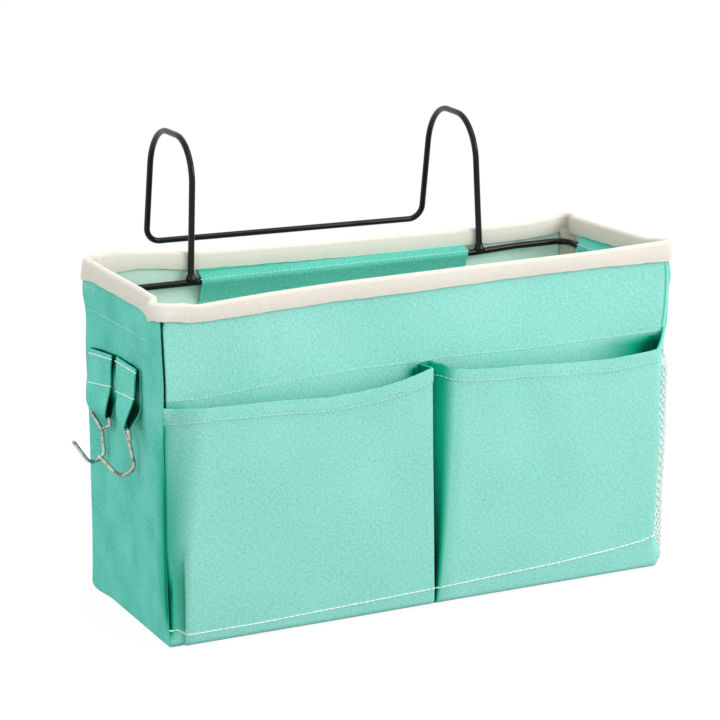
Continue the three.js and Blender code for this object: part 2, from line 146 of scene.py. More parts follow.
def add_node(tree: bpy.types.NodeTree, kind: str, inputs: dict | None = None, **settings) -> bpy.types.Node:
    """Adds a node with its settings and links.

    Args:
        tree: Tree that gets the node.
        kind: Blender's name of the node type.
        inputs: Socket name or number, and the value or the socket that feeds it.
        **settings: Properties of the node.

    Returns:
        The new node.
    """
    made = tree.nodes.new(kind)
    for name, value in settings.items():
        setattr(made, name, value)
    feed(tree, made, inputs or {})
    return made


class Shading:
    """One material with a Principled shader, and the few patterns that the finishes share."""

    def __init__(self, name: str) -> None:
        """Starts the material.

        Args:
            name: Name of the material.
        """
        self.material = bpy.data.materials.new(name)
        self.material.use_nodes = True
        self.tree = self.material.node_tree
        self.tree.nodes.clear()
        self.shader = self.add("BsdfPrincipled")
        self.add("OutputMaterial", {"Surface": self.shader.outputs[0]})

    def add(self, kind: str, inputs: dict | None = None, **settings) -> bpy.types.Node:
        """Adds a shader node."""
        return add_node(self.tree, "ShaderNode" + kind, inputs, **settings)

    def cloth(self) -> Socket:
        """Place on the flat cloth, in metres."""
        return self.add("UVMap", uv_map="UVMap").outputs[0]

    def solid(self) -> Socket:
        """Place in space, in metres."""
        return self.add("TexCoord").outputs["Object"]

    def fold(self) -> Socket:
        """Amount of painted shade from the attribute fold, from 0 to 1."""
        return self.add("Attribute", attribute_name="fold").outputs["Fac"]

    def noise(self, place: Socket, size: float, detail: float) -> Socket:
        """Cloudy pattern with grains of a size in millimetres."""
        return self.add("TexNoise", {"Vector": place, "Scale": 1 / (size * MM), "Detail": detail}).outputs[0]

    def ribs(self, place: Socket, pitch: float, distortion: float, axis: str = "X") -> Socket:
        """Ribs at a pitch in millimetres."""
        wave = {"Vector": place, "Scale": math.tau / 20 / (pitch * MM), "Distortion": distortion}
        return self.add("TexWave", {**wave, "Detail": 1.0}, bands_direction=axis).outputs[1]

    def sum(self, operation: str, *values: Socket | float) -> Socket:
        """Result of a sum on sockets and numbers."""
        return self.add("Math", dict(enumerate(values)), operation=operation).outputs[0]

    def share(self, value: Socket, low: float, high: float) -> Socket:
        """Share that goes from 0 at low to 1 at high."""
        return self.add("MapRange", {"Value": value, "From Min": low, "From Max": high}).outputs[0]

    def mix(self, share: Socket, first: Socket | str, second: str) -> Socket:
        """Mix of two colours, the first a socket or a hex value."""
        start = linear(first) if isinstance(first, str) else first
        return self.add("Mix", {0: share, 6: start, 7: linear(second)}, data_type="RGBA").outputs[2]

    def finish(
        self, colour: Socket, height: Socket, strength: float, relief: float, inputs: dict
    ) -> bpy.types.Material:
        """Ends the material.

        Args:
            colour: Base colour.
            height: Relief of the surface, from 0 to 1.
            strength: Share of the relief that shows.
            relief: Depth of the relief, in millimetres.
            inputs: The shader's other inputs, each a number or a socket.

        Returns:
            The finished material.
        """
        normal = self.add("Bump", {"Height": height, "Strength": strength, "Distance": relief * MM})
        feed(self.tree, self.shader, {"Base Color": colour, "Normal": normal.outputs[0], **inputs})
        return self.material


@dataclass(frozen=True)
class Finish:
    """Base of the finishes: the real material with how it is made, and two tones."""

    name: str
    pale: str
    deep: str


@dataclass(frozen=True)
class LinenLook(Finish):
    """Coated linen-look cotton, plain woven: slubs show as paler and deeper flecks along both threads.

    Painted shade: where the attribute fold says, the colour turns fuller, and nearly black at the most, as
    shade falls in folds, seams and recesses.
    """

    # Colours of painted shade: fuller first, nearly black in the deepest.
    painted_shade: str = "#0cb08c"
    painted_deep_shade: str = "#02231b"
    cloud: float = 0.3
    thread: float = 0.8
    slub: float = 2.2
    blotch: float = 55.0
    roughness: float = 0.9
    relief: float = 0.16

    def build(self) -> bpy.types.Material:
        """Builds the material. Threads are drawn about twice as coarse as real ones, so that they show.

        Returns:
            The finished material.
        """
        made = Shading(self.name)
        cloth = made.cloth()
        flecks = []
        for long, short in ((self.slub, self.thread), (self.thread, self.slub)):
            scale = (1 / (long * MM), 1 / (short * MM), 1)
            place = made.add("Mapping", {"Vector": cloth, "Scale": scale})
            flecks.append(made.noise(place.outputs[0], 1 / MM, 2.5))
        both = made.sum("ADD", *flecks)
        tone = made.sum("MULTIPLY_ADD", made.noise(cloth, self.blotch, 1.0), self.cloud, both)
        share = made.share(tone, 0.7 + self.cloud / 2, 1.2 + self.cloud / 2)
        colour = made.mix(share, self.deep, self.pale)
        # Painted shade, mixed in as far as the attribute fold says.
        fold = made.fold()
        for start, end, tint in ((0.0, 0.7, self.painted_shade), (0.7, 1.0, self.painted_deep_shade)):
            colour = made.mix(made.share(fold, start, end), colour, tint)
        weave = made.sum("MULTIPLY", *(made.ribs(cloth, self.thread, 0.6, axis) for axis in ("X", "Y")))
        height = made.sum("MULTIPLY_ADD", weave, 0.5, both)
        inputs = {"Roughness": self.roughness, "Specular IOR Level": 0.08}
        return made.finish(colour, height, 0.7, self.relief, inputs)


@dataclass(frozen=True)
class TwillTape(Finish):
    """Unbleached cotton tape, twill woven: fine slanting ribs and small nubs, with painted shade where the
    attribute fold says.
    """

    # Colour of painted shade on the tape.
    painted_shade: str = "#b9b39c"
    rib: float = 1.3
    nub: float = 1.1
    slant: float = 50.0

    def build(self) -> bpy.types.Material:
        """Builds the material. Ribs are drawn about twice as coarse as real ones, so that they show.

        Returns:
            The finished material.
        """
        made = Shading(self.name)
        tape = made.cloth()
        turned = made.add("Mapping", {"Vector": tape, "Rotation": (0, 0, math.radians(self.slant))})
        ribs = made.ribs(turned.outputs[0], self.rib, 1.2)
        tone = made.sum("MULTIPLY_ADD", ribs, 0.2, made.noise(tape, self.nub, 2.0))
        colour = made.mix(made.share(tone, 0.3, 0.9), self.deep, self.pale)
        inputs = {"Roughness": 0.92, "Specular IOR Level": 0.2, "Sheen Weight": 0.1}
        # Painted shade: the tape's colour darkens as far as the attribute fold says.
        return made.finish(made.mix(made.fold(), colour, self.painted_shade), tone, 0.6, 0.15, inputs)


@dataclass(frozen=True)
class CoatedReverse(Finish):
    """Waterproof coating on the back of the cloth: a pale, faintly uneven film with a soft gloss."""

    cloud: float = 18.0

    def build(self) -> bpy.types.Material:
        """Builds the material.

        Returns:
            The finished material.
        """
        made = Shading(self.name)
        cloud = made.noise(made.cloth(), self.cloud, 4.0)
        colour = made.mix(made.share(cloud, 0.3, 0.7), self.deep, self.pale)
        return made.finish(colour, cloud, 0.3, 0.4, {"Roughness": 0.5})


@dataclass(frozen=True)
class WireFinish:
    """Finish of a wire: paint that has pooled a little, or bright nickel plate with faint drawing marks in
    its gloss and darker patches that are painted reflection of dark surroundings.
    """

    name: str
    base: str
    pooled_paint_and_dark_reflection: str
    metallic: float
    roughness: float
    specular: float
    grain: float = 5.0

    def build(self) -> bpy.types.Material:
        """Builds the material.

        Returns:
            The finished material.
        """
        made = Shading(self.name)
        grain = made.noise(made.solid(), self.grain, 5.0)
        colour = made.mix(made.share(grain, 0.45, 0.75), self.base, self.pooled_paint_and_dark_reflection)
        limits = {"To Min": self.roughness * 0.8, "To Max": self.roughness * 1.25}
        gloss = made.add("MapRange", {"Value": grain, **limits}).outputs[0]
        inputs = {"Roughness": gloss, "Metallic": self.metallic, "Specular IOR Level": self.specular}
        return made.finish(colour, grain, 0.25, 0.1, inputs)


@dataclass(frozen=True)
class SpunYarn(Finish):
    """Polyester sewing thread or knitted net yarn: bright, with a faint fleck from its filaments."""

    fleck: float = 1.5
    roughness: float = 0.55

    def build(self) -> bpy.types.Material:
        """Builds the material.

        Returns:
            The finished material.
        """
        made = Shading(self.name)
        fleck = made.noise(made.solid(), self.fleck, 2.0)
        colour = made.mix(fleck, self.deep, self.pale)
        return made.finish(colour, fleck, 0.3, 0.05, {"Roughness": self.roughness, "Sheen Weight": 0.1})


@dataclass(frozen=True)
class PressedBoard(Finish):
    """Grey-white pressed board: rolled smooth, with short fibres showing."""

    fibre: float = 2.5

    def build(self) -> bpy.types.Material:
        """Builds the material.

        Returns:
            The finished material.
        """
        made = Shading(self.name)
        fibre = made.noise(made.solid(), self.fibre, 6.0)
        return made.finish(made.mix(fibre, self.deep, self.pale), fibre, 0.3, 0.1, {"Roughness": 0.7})


class Finishes:
    """Every finish on the caddy, built once."""

    def __init__(self) -> None:
        """Builds the materials."""
        linen = "coated linen-look cotton, woven"
        self.linen = LinenLook(linen, "#a4eae0", "#85d7ca").build()
        # A deeper, fuller copy of the linen for the left wall, its tabs and the bottom: painted shade of
        # pieces that lie away from the key lamp.
        self.painted_shade_linen = LinenLook(linen + ", side", "#7cdece", "#5ccab9", cloud=1.0, blotch=24.0).build()
        # A deeper copy of the linen for the sleeves: painted shade inside the box.
        self.painted_shade_sleeve_linen = LinenLook(linen + ", sleeve", "#6ecebd", "#4eb7a6").build()
        self.tape = TwillTape("cotton twill tape, unbleached", "#f2eee6", "#dcd5ca").build()
        self.reverse = CoatedReverse("waterproof coating, rolled on", "#e0f9ee", "#cdf1e3").build()
        paint, plate = "black paint on steel wire, dipped", "nickel plate on steel wire, barrel plated"
        self.paint = WireFinish(paint, "#020202", "#080808", 0.0, 0.07, 0.28).build()
        # The nickel's second tone is dark: painted reflection of dark surroundings, in patches.
        self.nickel = WireFinish(plate, "#cfcac0", "#57514a", 1.0, 0.2, 0.5, 3.5).build()
        self.thread = SpunYarn("polyester thread, twisted", "#fbfdfb", "#e4efeb").build()
        self.fine_thread = SpunYarn("polyester thread, twisted, fine", "#d8f3ec", "#b4e3d8").build()
        self.net = SpunYarn("polyester net, knitted", "#f0faf8", "#d3ebe6").build()
        self.board = PressedBoard("pressed board, rolled", "#e9ebe6", "#d2d5ce").build()


def new_object(mesh: bpy.types.Mesh, *finishes: bpy.types.Material) -> bpy.types.Object:
    """Links a mesh to the scene as an object of its own name at the origin.

    Args:
        mesh: The mesh.
        *finishes: Its materials, in order.

    Returns:
        The object.
    """
    for finish in finishes:
        mesh.materials.append(finish)
    made = bpy.data.objects.new(mesh.name, mesh)
    bpy.context.scene.collection.objects.link(made)
    return made


def place_piece(
    piece: bpy.types.Object, replaced: Sequence[str] = (), body: str = CADDY
) -> bpy.types.Object:
    """Lets a finished piece ride on its body.

    Args:
        piece: The piece, in place.
        replaced: CAD nodes that the piece stands for.
        body: CAD body that carries it.

    Returns:
        The piece.
    """
    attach(piece, body)
    if replaced:
        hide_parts(*replaced)
    LOG.info("%s: %d faces on %s", piece.name, len(piece.data.polygons), body)
    return piece


def grid_normals(points: Grid) -> Grid:
    """Unit normals of a grid of points, rows upwards and columns to the right seen from outside."""
    normal = np.cross(np.gradient(points, axis=1), np.gradient(points, axis=0))
    return normal / np.maximum(np.linalg.norm(normal, axis=2, keepdims=True), 1e-9)


def lengths_along(points: Grid, closed: bool) -> Grid:
    """Running length along one row of points.

    Args:
        points: The row of points.
        closed: True where the last point joins the first.

    Returns:
        Length at each point, and after the closing step where the row is closed.
    """
    ring = np.concatenate([points, points[:1]]) if closed else points
    steps = np.linalg.norm(np.diff(ring, axis=0), axis=1)
    return np.concatenate([[0.0], np.cumsum(steps)])


def section_normals(line: np.ndarray) -> np.ndarray:
    """Unit normals to the left of a line in a plane.

    Args:
        line: Points of the line, two numbers each.

    Returns:
        One normal for each point.
    """
    along = np.gradient(line, axis=0)
    normal = np.stack([-along[:, 1], along[:, 0]], axis=1)
    return normal / np.maximum(np.linalg.norm(normal, axis=1, keepdims=True), 1e-6)


def at_height(strip: Grid, z: float, sense: int = 1) -> list[float]:
    """Point at a height on a strip of points that rises, or falls where the sense is -1."""
    return [np.interp(sense * z, sense * strip[:, 2], strip[:, k]) for k in range(3)]


def cloth_mesh(
    name: str,
    outer: Grid,
    inner: Grid,
    closed: bool = False,
    lined: bool = False,
    folds: tuple[Grid, Grid] | None = None,
) -> bpy.types.Mesh:
    """Closed mesh of a sheet of cloth between two grids of points.

    Args:
        name: Name of the mesh.
        outer: Outer face, rows by columns by three, in millimetres.
        inner: Inner face, the same shape.
        closed: True where the last column joins the first.
        lined: True where the inner face takes the second material.
        folds: Painted shade at each point of the outer and the inner face, from 0 to 1.

    Returns:
        The mesh, with a UV map in metres of cloth.
    """
    rows, columns = outer.shape[:2]
    number = np.arange(rows * columns).reshape(rows, columns)
    if closed:
        number = np.concatenate([number, number[:, :1]], axis=1)
    far = number + rows * columns
    u = lengths_along(outer[rows // 2], closed)
    v = lengths_along(outer[:, columns // 2], False)
    flat = np.stack(np.meshgrid(u, v), axis=2) * MM
    faces, maps, sides = [], [], []

    def put(corners: Sequence[Grid], spots: Sequence[Grid], side: int) -> None:
        """Adds four-cornered faces.

        Args:
            corners: Numbers of their points, one array for each corner.
            spots: Places of the corners on the flat cloth.
            side: Number of their material.
        """
        faces.append(np.stack([corner.ravel() for corner in corners], axis=1))
        maps.append(np.stack([spot.reshape(-1, 2) for spot in spots], axis=1))
        sides.append(np.full(len(faces[-1]), side))

    low, high = slice(None, -1), slice(1, None)
    front = ((low, low), (low, high), (high, high), (high, low))
    back = (front[0], front[3], front[2], front[1])
    put([number[c] for c in front], [flat[c] for c in front], 0)
    put([far[c] for c in back], [flat[c] for c in back], int(lined))
    edges = [((0, low), (0, high)), ((-1, high), (-1, low))]
    if not closed:
        edges += [((high, 0), (low, 0)), ((low, -1), (high, -1))]
    for a, b in edges:
        put([number[a], far[a], far[b], number[b]], [flat[a], flat[a], flat[b], flat[b]], 0)
    mesh = bpy.data.meshes.new(name)
    points = np.concatenate([outer.reshape(-1, 3), inner.reshape(-1, 3)]) * MM
    mesh.from_pydata(points.tolist(), [], np.concatenate(faces).tolist())
    layer = mesh.uv_layers.new(name="UVMap")
    layer.data.foreach_set("uv", np.concatenate(maps).astype(np.float32).ravel())
    mesh.polygons.foreach_set("material_index", np.concatenate(sides).astype(np.int32))
    mesh.polygons.foreach_set("use_smooth", np.ones(len(mesh.polygons), bool))
    mesh.set_sharp_from_angle(angle=math.radians(55))
    # Painted shade, kept in the attribute fold for the materials.
    if folds:
        depths = np.concatenate([side.ravel() for side in folds])
        mesh.attributes.new("fold", "FLOAT", "POINT").data.foreach_set("value", depths.astype(np.float32))
    mesh.update()
    return mesh


def bent_line(corners: Sequence[tuple[np.ndarray, float]], step: float = 0.12) -> np.ndarray:
    """Points along a wire with rounded bends.

    Args:
        corners: Corner points, each with the radius of its bend.
        step: Largest turn between two points, in radians.

    Returns:
        The points, ends included.
    """
    line = [corners[0][0]]
    for (before, _), (corner, radius), (after, _) in zip(corners, corners[1:], corners[2:]):
        back = (before - corner) / np.linalg.norm(before - corner)
        onward = (after - corner) / np.linalg.norm(after - corner)
        half = math.acos(np.clip(back @ onward, -1, 1)) / 2
        turn = math.pi - 2 * half
        if radius <= 0 or turn < 1e-4:
            line.append(corner)
            continue
        middle = (back + onward) / np.linalg.norm(back + onward)
        centre = corner + middle * radius / math.sin(half)
        spoke = corner + back * radius / math.tan(half) - centre
        count = max(3, math.ceil(turn / step))
        for k in range(count + 1):
            angle = turn * k / count
            line.append(centre + spoke * math.cos(angle) - back * radius * math.sin(angle))
    line.append(corners[-1][0])
    return np.array(line)


def tube_mesh(name: str, line: np.ndarray, radii: np.ndarray, sides: int) -> bpy.types.Mesh:
    """Closed round tube along a line, with domed ends.

    Args:
        name: Name of the mesh.
        line: Points of the centre line, in millimetres.
        radii: Radius at each point.
        sides: Corners of the section.

    Returns:
        The mesh.
    """
    tangents = np.gradient(line, axis=0)
    steps = np.diff(line, axis=0)
    steps /= np.linalg.norm(steps, axis=1, keepdims=True)
    tangents[1:-1] = steps[:-1] + steps[1:]
    tangents /= np.linalg.norm(tangents, axis=1, keepdims=True)
    start = np.array([0.0, 0.0, 1.0]) if abs(tangents[0][2]) < 0.9 else np.array([1.0, 0.0, 0.0])
    across = np.cross(tangents[0], start)
    angles = np.arange(sides) * math.tau / sides
    rings = []

    def ring(centre: np.ndarray, tangent: np.ndarray, radius: float) -> None:
        """Adds a ring of points square to the line.

        Args:
            centre: Middle of the ring.
            tangent: Direction of the line there.
            radius: Radius of the ring.
        """
        side = across / np.linalg.norm(across)
        over = np.cross(tangent, side)
        rings.append(centre + radius * (np.outer(np.cos(angles), side) + np.outer(np.sin(angles), over)))

    def dome(end: int, sense: int, shares: Sequence[float]) -> None:
        """Adds the rings of a domed end.

        Args:
            end: Number of the line's end point.
            sense: 1 or -1, outwards along the line.
            shares: Shares of the section at the rings.
        """
        for share in shares:
            rise = sense * tangents[end] * radii[end] * 0.45 * (1 - share)
            ring(line[end] + rise, tangents[end], radii[end] * math.sqrt(share))

    dome(0, -1, (0.35, 0.75))
    for centre, tangent, radius in zip(line, tangents, radii):
        across = across - tangent * (across @ tangent)
        ring(centre, tangent, radius)
    dome(-1, 1, (0.75, 0.35))
    count = len(rings)
    points = np.concatenate(rings) * MM
    faces = []
    for i in range(count - 1):
        for k in range(sides):
            onward = (k + 1) % sides
            faces.append((i * sides + k, i * sides + onward, (i + 1) * sides + onward, (i + 1) * sides + k))
    faces.append(tuple(reversed(range(sides))))
    faces.append(tuple((count - 1) * sides + k for k in range(sides)))
    mesh = bpy.data.meshes.new(name)
    mesh.from_pydata(points.tolist(), [], faces)
    mesh.polygons.foreach_set("use_smooth", np.ones(len(mesh.polygons), bool))
    mesh.update()
    return mesh


def realised(piece: bpy.types.Object) -> bpy.types.Object:
    """Turns what a piece's node tree makes into a plain mesh, and removes the modifier.

    Args:
        piece: Object with the modifier.

    Returns:
        The piece, now a plain mesh.
    """
    graph = bpy.context.evaluated_depsgraph_get()
    mesh = bpy.data.meshes.new_from_object(piece.evaluated_get(graph), depsgraph=graph)
    piece.modifiers.clear()
    piece.data = mesh
    return piece


class NodeRecipe:
    """Base of the node trees: an interface with named inputs, and one modifier that uses it."""

    name = "recipe"
    inputs: dict[str, str] = {}

    def __init__(self) -> None:
        """Builds the tree."""
        self.tree = bpy.data.node_groups.new(self.name, "GeometryNodeTree")
        self.tree.interface.new_socket("Geometry", in_out="INPUT", socket_type="NodeSocketGeometry")
        self.sockets = {
            label: self.tree.interface.new_socket(label, in_out="INPUT", socket_type=kind).identifier
            for label, kind in self.inputs.items()
        }
        self.tree.interface.new_socket("Geometry", in_out="OUTPUT", socket_type="NodeSocketGeometry")
        self.source = add_node(self.tree, "NodeGroupInput")
        self.finish(self.lay_out())

    def lay_out(self) -> Socket:
        """Adds the tree's own nodes and returns the socket that holds the result."""
        raise NotImplementedError

    def half(self, label: str) -> Socket:
        """Half of a named input."""
        inputs = {0: self.source.outputs[label], 1: 0.5}
        return add_node(self.tree, "ShaderNodeMath", inputs, operation="MULTIPLY").outputs[0]

    def finish(self, result: Socket) -> None:
        """Ends the tree in real geometry with its material.

        Args:
            result: Socket that holds what the tree makes.
        """
        real = add_node(self.tree, "GeometryNodeRealizeInstances", {0: result})
        smooth_faces = add_node(self.tree, "GeometryNodeSetShadeSmooth", {0: real.outputs[0]})
        finish = {"Geometry": smooth_faces.outputs[0], "Material": self.source.outputs["Material"]}
        dressed = add_node(self.tree, "GeometryNodeSetMaterial", finish)
        add_node(self.tree, "NodeGroupOutput", {0: dressed.outputs[0]})

    def apply(self, piece: bpy.types.Object, **values) -> bpy.types.Object:
        """Runs the tree on a piece.

        Args:
            piece: Object with the guide lines.
            **values: Value of each named input.

        Returns:
            The piece, now a plain mesh.
        """
        modifier = piece.modifiers.new(self.name, "NODES")
        modifier.node_group = self.tree
        for label, value in values.items():
            modifier[self.sockets[label]] = value
        return realised(piece)


class StitchRecipe(NodeRecipe):
    """Lockstitches along guide lines: one short swollen thread for each stitch, of slightly uneven size."""

    name = "stitches along lines"
    inputs = {
        "Stitch": "NodeSocketFloat",
        "Pitch": "NodeSocketFloat",
        "Thread": "NodeSocketFloat",
        "Seed": "NodeSocketInt",
        "Material": "NodeSocketMaterial",
    }

    def lay_out(self) -> Socket:
        """Adds the tree's own nodes.

        Returns:
            The socket that holds the result.
        """
        given = self.source.outputs
        lines = add_node(self.tree, "GeometryNodeMeshToCurve", {0: given["Geometry"]})
        spacing = {"Curve": lines.outputs[0], "Length": given["Pitch"]}
        even = add_node(self.tree, "GeometryNodeResampleCurve", spacing, mode="LENGTH")
        spots = add_node(self.tree, "GeometryNodeCurveToPoints", {0: even.outputs[0]}, mode="EVALUATED")
        thread = self.half("Thread")
        size = add_node(self.tree, "ShaderNodeCombineXYZ", {0: thread, 1: thread, 2: self.half("Stitch")})
        grain = add_node(self.tree, "GeometryNodeMeshUVSphere", {"Segments": 8, "Rings": 5, "Radius": 1.0})
        shape = {"Geometry": grain.outputs[0], "Scale": size.outputs[0]}
        stitch = add_node(self.tree, "GeometryNodeTransform", shape)
        limits = {0: (0.85, 0.85, 0.8), 1: (1.15, 1.15, 1.08), "Seed": given["Seed"]}
        chance = add_node(self.tree, "FunctionNodeRandomValue", limits, data_type="FLOAT_VECTOR")
        laid = {
            "Points": spots.outputs["Points"],
            "Instance": stitch.outputs[0],
            "Rotation": spots.outputs["Rotation"],
            "Scale": chance.outputs[0],
        }
        return add_node(self.tree, "GeometryNodeInstanceOnPoints", laid).outputs[0]


class NetRecipe(NodeRecipe):
    """Yarn round every edge of a lattice."""

    name = "net of a lattice"
    inputs = {"Yarn": "NodeSocketFloat", "Material": "NodeSocketMaterial"}

    def lay_out(self) -> Socket:
        """Adds the tree's own nodes.

        Returns:
            The socket that holds the result.
        """
        lines = add_node(self.tree, "GeometryNodeMeshToCurve", {0: self.source.outputs["Geometry"]})
        circle = {"Resolution": 5, "Radius": self.half("Yarn")}
        ring = add_node(self.tree, "GeometryNodeCurvePrimitiveCircle", circle)
        sweep = {"Curve": lines.outputs[0], "Profile Curve": ring.outputs[0], "Fill Caps": True}
        return add_node(self.tree, "GeometryNodeCurveToMesh", sweep).outputs[0]


@dataclass(frozen=True)
class StitchStyle:
    """Size of a lockstitch: length, pitch and thickness of its thread."""

    stitch: float
    pitch: float
    thread: float


FINE = StitchStyle(2.5, 2.75, 0.46)
BOLD = StitchStyle(4.3, 3.6, 0.8)


@dataclass
class Seams:
    """All sewn lines, collected while the pieces are made, and stitched in groups at the end."""

    finishes: Finishes
    lines: dict[tuple[str, StitchStyle], list[np.ndarray]] = field(default_factory=dict)

    def add(self, group: str, line: np.ndarray, style: StitchStyle = FINE) -> None:
        """Adds a line of points, in millimetres, to a named group of one style."""
        self.lines.setdefault((group, style), []).append(np.asarray(line, float))

    def build(self) -> None:
        """Stitches every group as one piece."""
        recipe = StitchRecipe()
        for number, ((group, style), lines) in enumerate(self.lines.items()):
            points, edges, start = [], [], 0
            for line in lines:
                points += (line * MM).tolist()
                edges += [(start + i, start + i + 1) for i in range(len(line) - 1)]
                start += len(line)
            mesh = bpy.data.meshes.new(group)
            mesh.from_pydata(points, edges, [])
            piece = recipe.apply(
                new_object(mesh),
                Stitch=style.stitch * MM,
                Pitch=style.pitch * MM,
                Thread=style.thread * MM,
                Seed=number,
                Material=self.finishes.thread if style is BOLD else self.finishes.fine_thread,
            )
            place_piece(piece)


@dataclass
class ClothBox:
    """The sewn box: four walls that meet in corner seams, and a bottom.

    Corners are numbered by the wall that starts there: front left, front right, back right, back left.
    """

    finishes: Finishes
    seams: Seams
    cloth: float = 1.4
    tape_cloth: float = 3.0
    low_radius: tuple[float, ...] = (2.0, 3.0, 5.0, 4.0)
    high_radius: tuple[float, ...] = (14.0, 2.6, 4.0, 8.0)
    seam_share: tuple[float, ...] = (0.45, 0.5, 0.5, 0.5)
    low_roll: float = 2.5
    left_roll: float = 0.3
    corner_roll: tuple[float, ...] = (0.4, 4.8, 4.8, 3.2)
    arc_steps: int = 8
    rows: int = 60
    fine: float = 13.0
    stitch_lift: float = 0.12
    bar_height: float = 178.0
    lean_table: Table = (
        (0, 0.0), (6.5, -0.9), (14, 1.6), (22, 4.2), (55, 4.2), (106, 3.2), (138, 2.2), (149, 0.4),
        (165, -1.4), (180, -1.8), (185.5, -1.2), (190, 0.2),
    )
    spread_table: Table = ((0, 0.0), (33, 1.1), (84, 1.0), (118, 1.7), (150, 1.1), (187, 2.5), (199, 1.0))
    mouth_stitch: Table = (
        (-160, 142.0), (-150, 141.2), (-140, 140.7), (-119, 142.2), (-86, 145.0), (-43, 146.5), (-2, 146.7),
        (8, 147.3), (67, 146.0), (141, 146.9), (160, 147.6),
    )
    rim_top: dict[Wall, Table] = field(
        default_factory=lambda: {
            Wall.FRONT: (
                (-160, 195.0), (-153, 193.4), (-144, 193.6), (-130, 194.7), (-103, 195.9), (-61, 197.3),
                (-17, 197.9), (66, 198.6), (113, 199.2), (160, 200.8),
            ),
            Wall.RIGHT: ((-59, 200.8), (-52, 200.2), (-36, 197.6), (20, 196.0), (59, 195.4)),
            Wall.BACK: (
                (-160, 195.4), (-133, 192.6), (-70, 192.5), (-42, 193.0), (5, 193.6), (51, 194.2),
                (101, 195.5), (125, 198.7), (136, 198.8), (144, 200.2), (150, 201.0), (160, 200.0),
            ),
            Wall.LEFT: (
                (-59, 198.8), (-50, 197.2), (0, 197.2), (33, 197.3), (44, 196.9), (52, 195.8), (59, 195.0),
            ),
        }
    )
    rim_low: dict[Wall, Table] = field(
        default_factory=lambda: {
            Wall.FRONT: (
                (-160, 186.0), (-148, 184.2), (-133, 184.2), (-104, 185.4), (-62, 186.9), (-18, 187.3),
                (65, 189.0), (112, 189.4), (160, 188.6),
            ),
            Wall.RIGHT: ((-59, 188.6), (0, 186.6), (59, 184.5)),
            Wall.BACK: (
                (-160, 184.5), (-132, 182.0), (-68, 182.4), (6, 183.2), (101, 185.2), (125, 188.4),
                (136, 189.2), (160, 186.4),
            ),
            Wall.LEFT: (
                (-59, 186.4), (-30, 186.4), (29, 186.6), (33, 186.2), (36.5, 183.8), (50, 184.4), (59, 186.0),
            ),
        }
    )
    half_width: float = field(init=False)
    half_depth: float = field(init=False)
    height: float = field(init=False)

    def __post_init__(self) -> None:
        """Reads the box's size from the frame."""
        self.half_width = -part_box("left_panel")[0].x / MM
        self.half_depth = -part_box("front_panel")[0].y / MM
        self.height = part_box("rim_binding")[1].z / MM

    def half(self, wall: Wall) -> float:
        """Half length of a wall."""
        return self.half_width if wall in (Wall.FRONT, Wall.BACK) else self.half_depth

    def distance(self, wall: Wall) -> float:
        """Distance of a wall's outer face from the middle."""
        return self.half_depth if wall in (Wall.FRONT, Wall.BACK) else self.half_width

    def radius(self, corner: int, z: Grid) -> Grid:
        """Plan radius of a corner at a height: the rim is rounder than the foot."""
        share = smooth(180, 199, z)
        return self.low_radius[corner] + (self.high_radius[corner] - self.low_radius[corner]) * share

    def along_at(self, wall: Wall, share: Grid) -> Grid:
        """Place along a wall at shares of its columns."""
        return np.clip((share - 1.5) * 2, -1, 1) * self.half(wall)

    def rim(self, table: dict[Wall, Table], wall: Wall, share: Grid) -> Grid:
        """Height of the rim tape's top or low edge at shares along a wall."""
        return look_up(table[wall], self.along_at(wall, share))

    def lean(self, z: Grid | float) -> Grid | float:
        """How far the right side leans in at a height."""
        return look_up(self.lean_table, z)

    def spread(self, z: Grid | float) -> Grid | float:
        """How far the front left corner stands out to the left at a height."""
        return look_up(self.spread_table, z)

    def stitch_height(self, along: Grid | float) -> Grid | float:
        """Height of the sewn line above the pockets."""
        return look_up(self.mouth_stitch, along)

    def relief(self, wall: Wall, along: Grid, z: Grid) -> Grid:
        """Slack, folds and swell of a wall's cloth.

        Args:
            wall: The wall.
            along: Place along the wall.
            z: Height.

        Returns:
            Distance out of the wall's flat plane.
        """
        swell = np.sin(np.clip(z / self.height, 0, 1) * math.pi)
        high = smooth(165, 190, z)
        bar = bump(z, self.bar_height, 8)
        if wall is Wall.FRONT:
            belly = 0.9 * np.cos(along * math.pi / 340) * swell
            crease = -0.6 * bump(along, -97, 2.4) * smooth(146, 165, z)
            ripple = 0.3 * np.sin(along / 19 + z / 23) * smooth(0, 30, z)
            return belly + crease + ripple + 0.9 * smooth(140, 158, along)
        if wall is Wall.LEFT:
            arm = 0.9 * bar * (1 - smooth(33, 37, along))
            slack = -1.6 * bump(along, 39.5, 4.0) * smooth(40, 150, z)
            ridge = 2.3 * bump(along, 47.5, 5.5) * smooth(0, 60, z)
            belly = -1.4 * np.cos(along * math.pi / 124) * swell
            folds = 0.7 * np.sin(along / 7.5 - z / 37 + 0.6) + 0.35 * np.sin(along / 4.1 + z / 19)
            folds = folds * smooth(10, 50, z) * (1 - smooth(140, 165, z)) * (1 - smooth(32, 42, along))
            return arm + slack + ridge + belly + folds + (2.5 + 1.2 * high) * smooth(-44, -57, along)
        if wall is Wall.RIGHT:
            pinch = (2.6 * smooth(49, 58, along) + 0.9 * smooth(-48, -57, along)) * high
            ease = 1.8 * bump(z, 150, 16) * smooth(-40, -57, along)
            return 0.8 * bar - 0.8 * np.cos(along * math.pi / 124) * swell + pinch + ease
        pinch = 2.6 * smooth(-148, -158, along) * high
        return 0.7 * bar + 0.5 * np.sin(along / 31 + z / 37) * swell + pinch

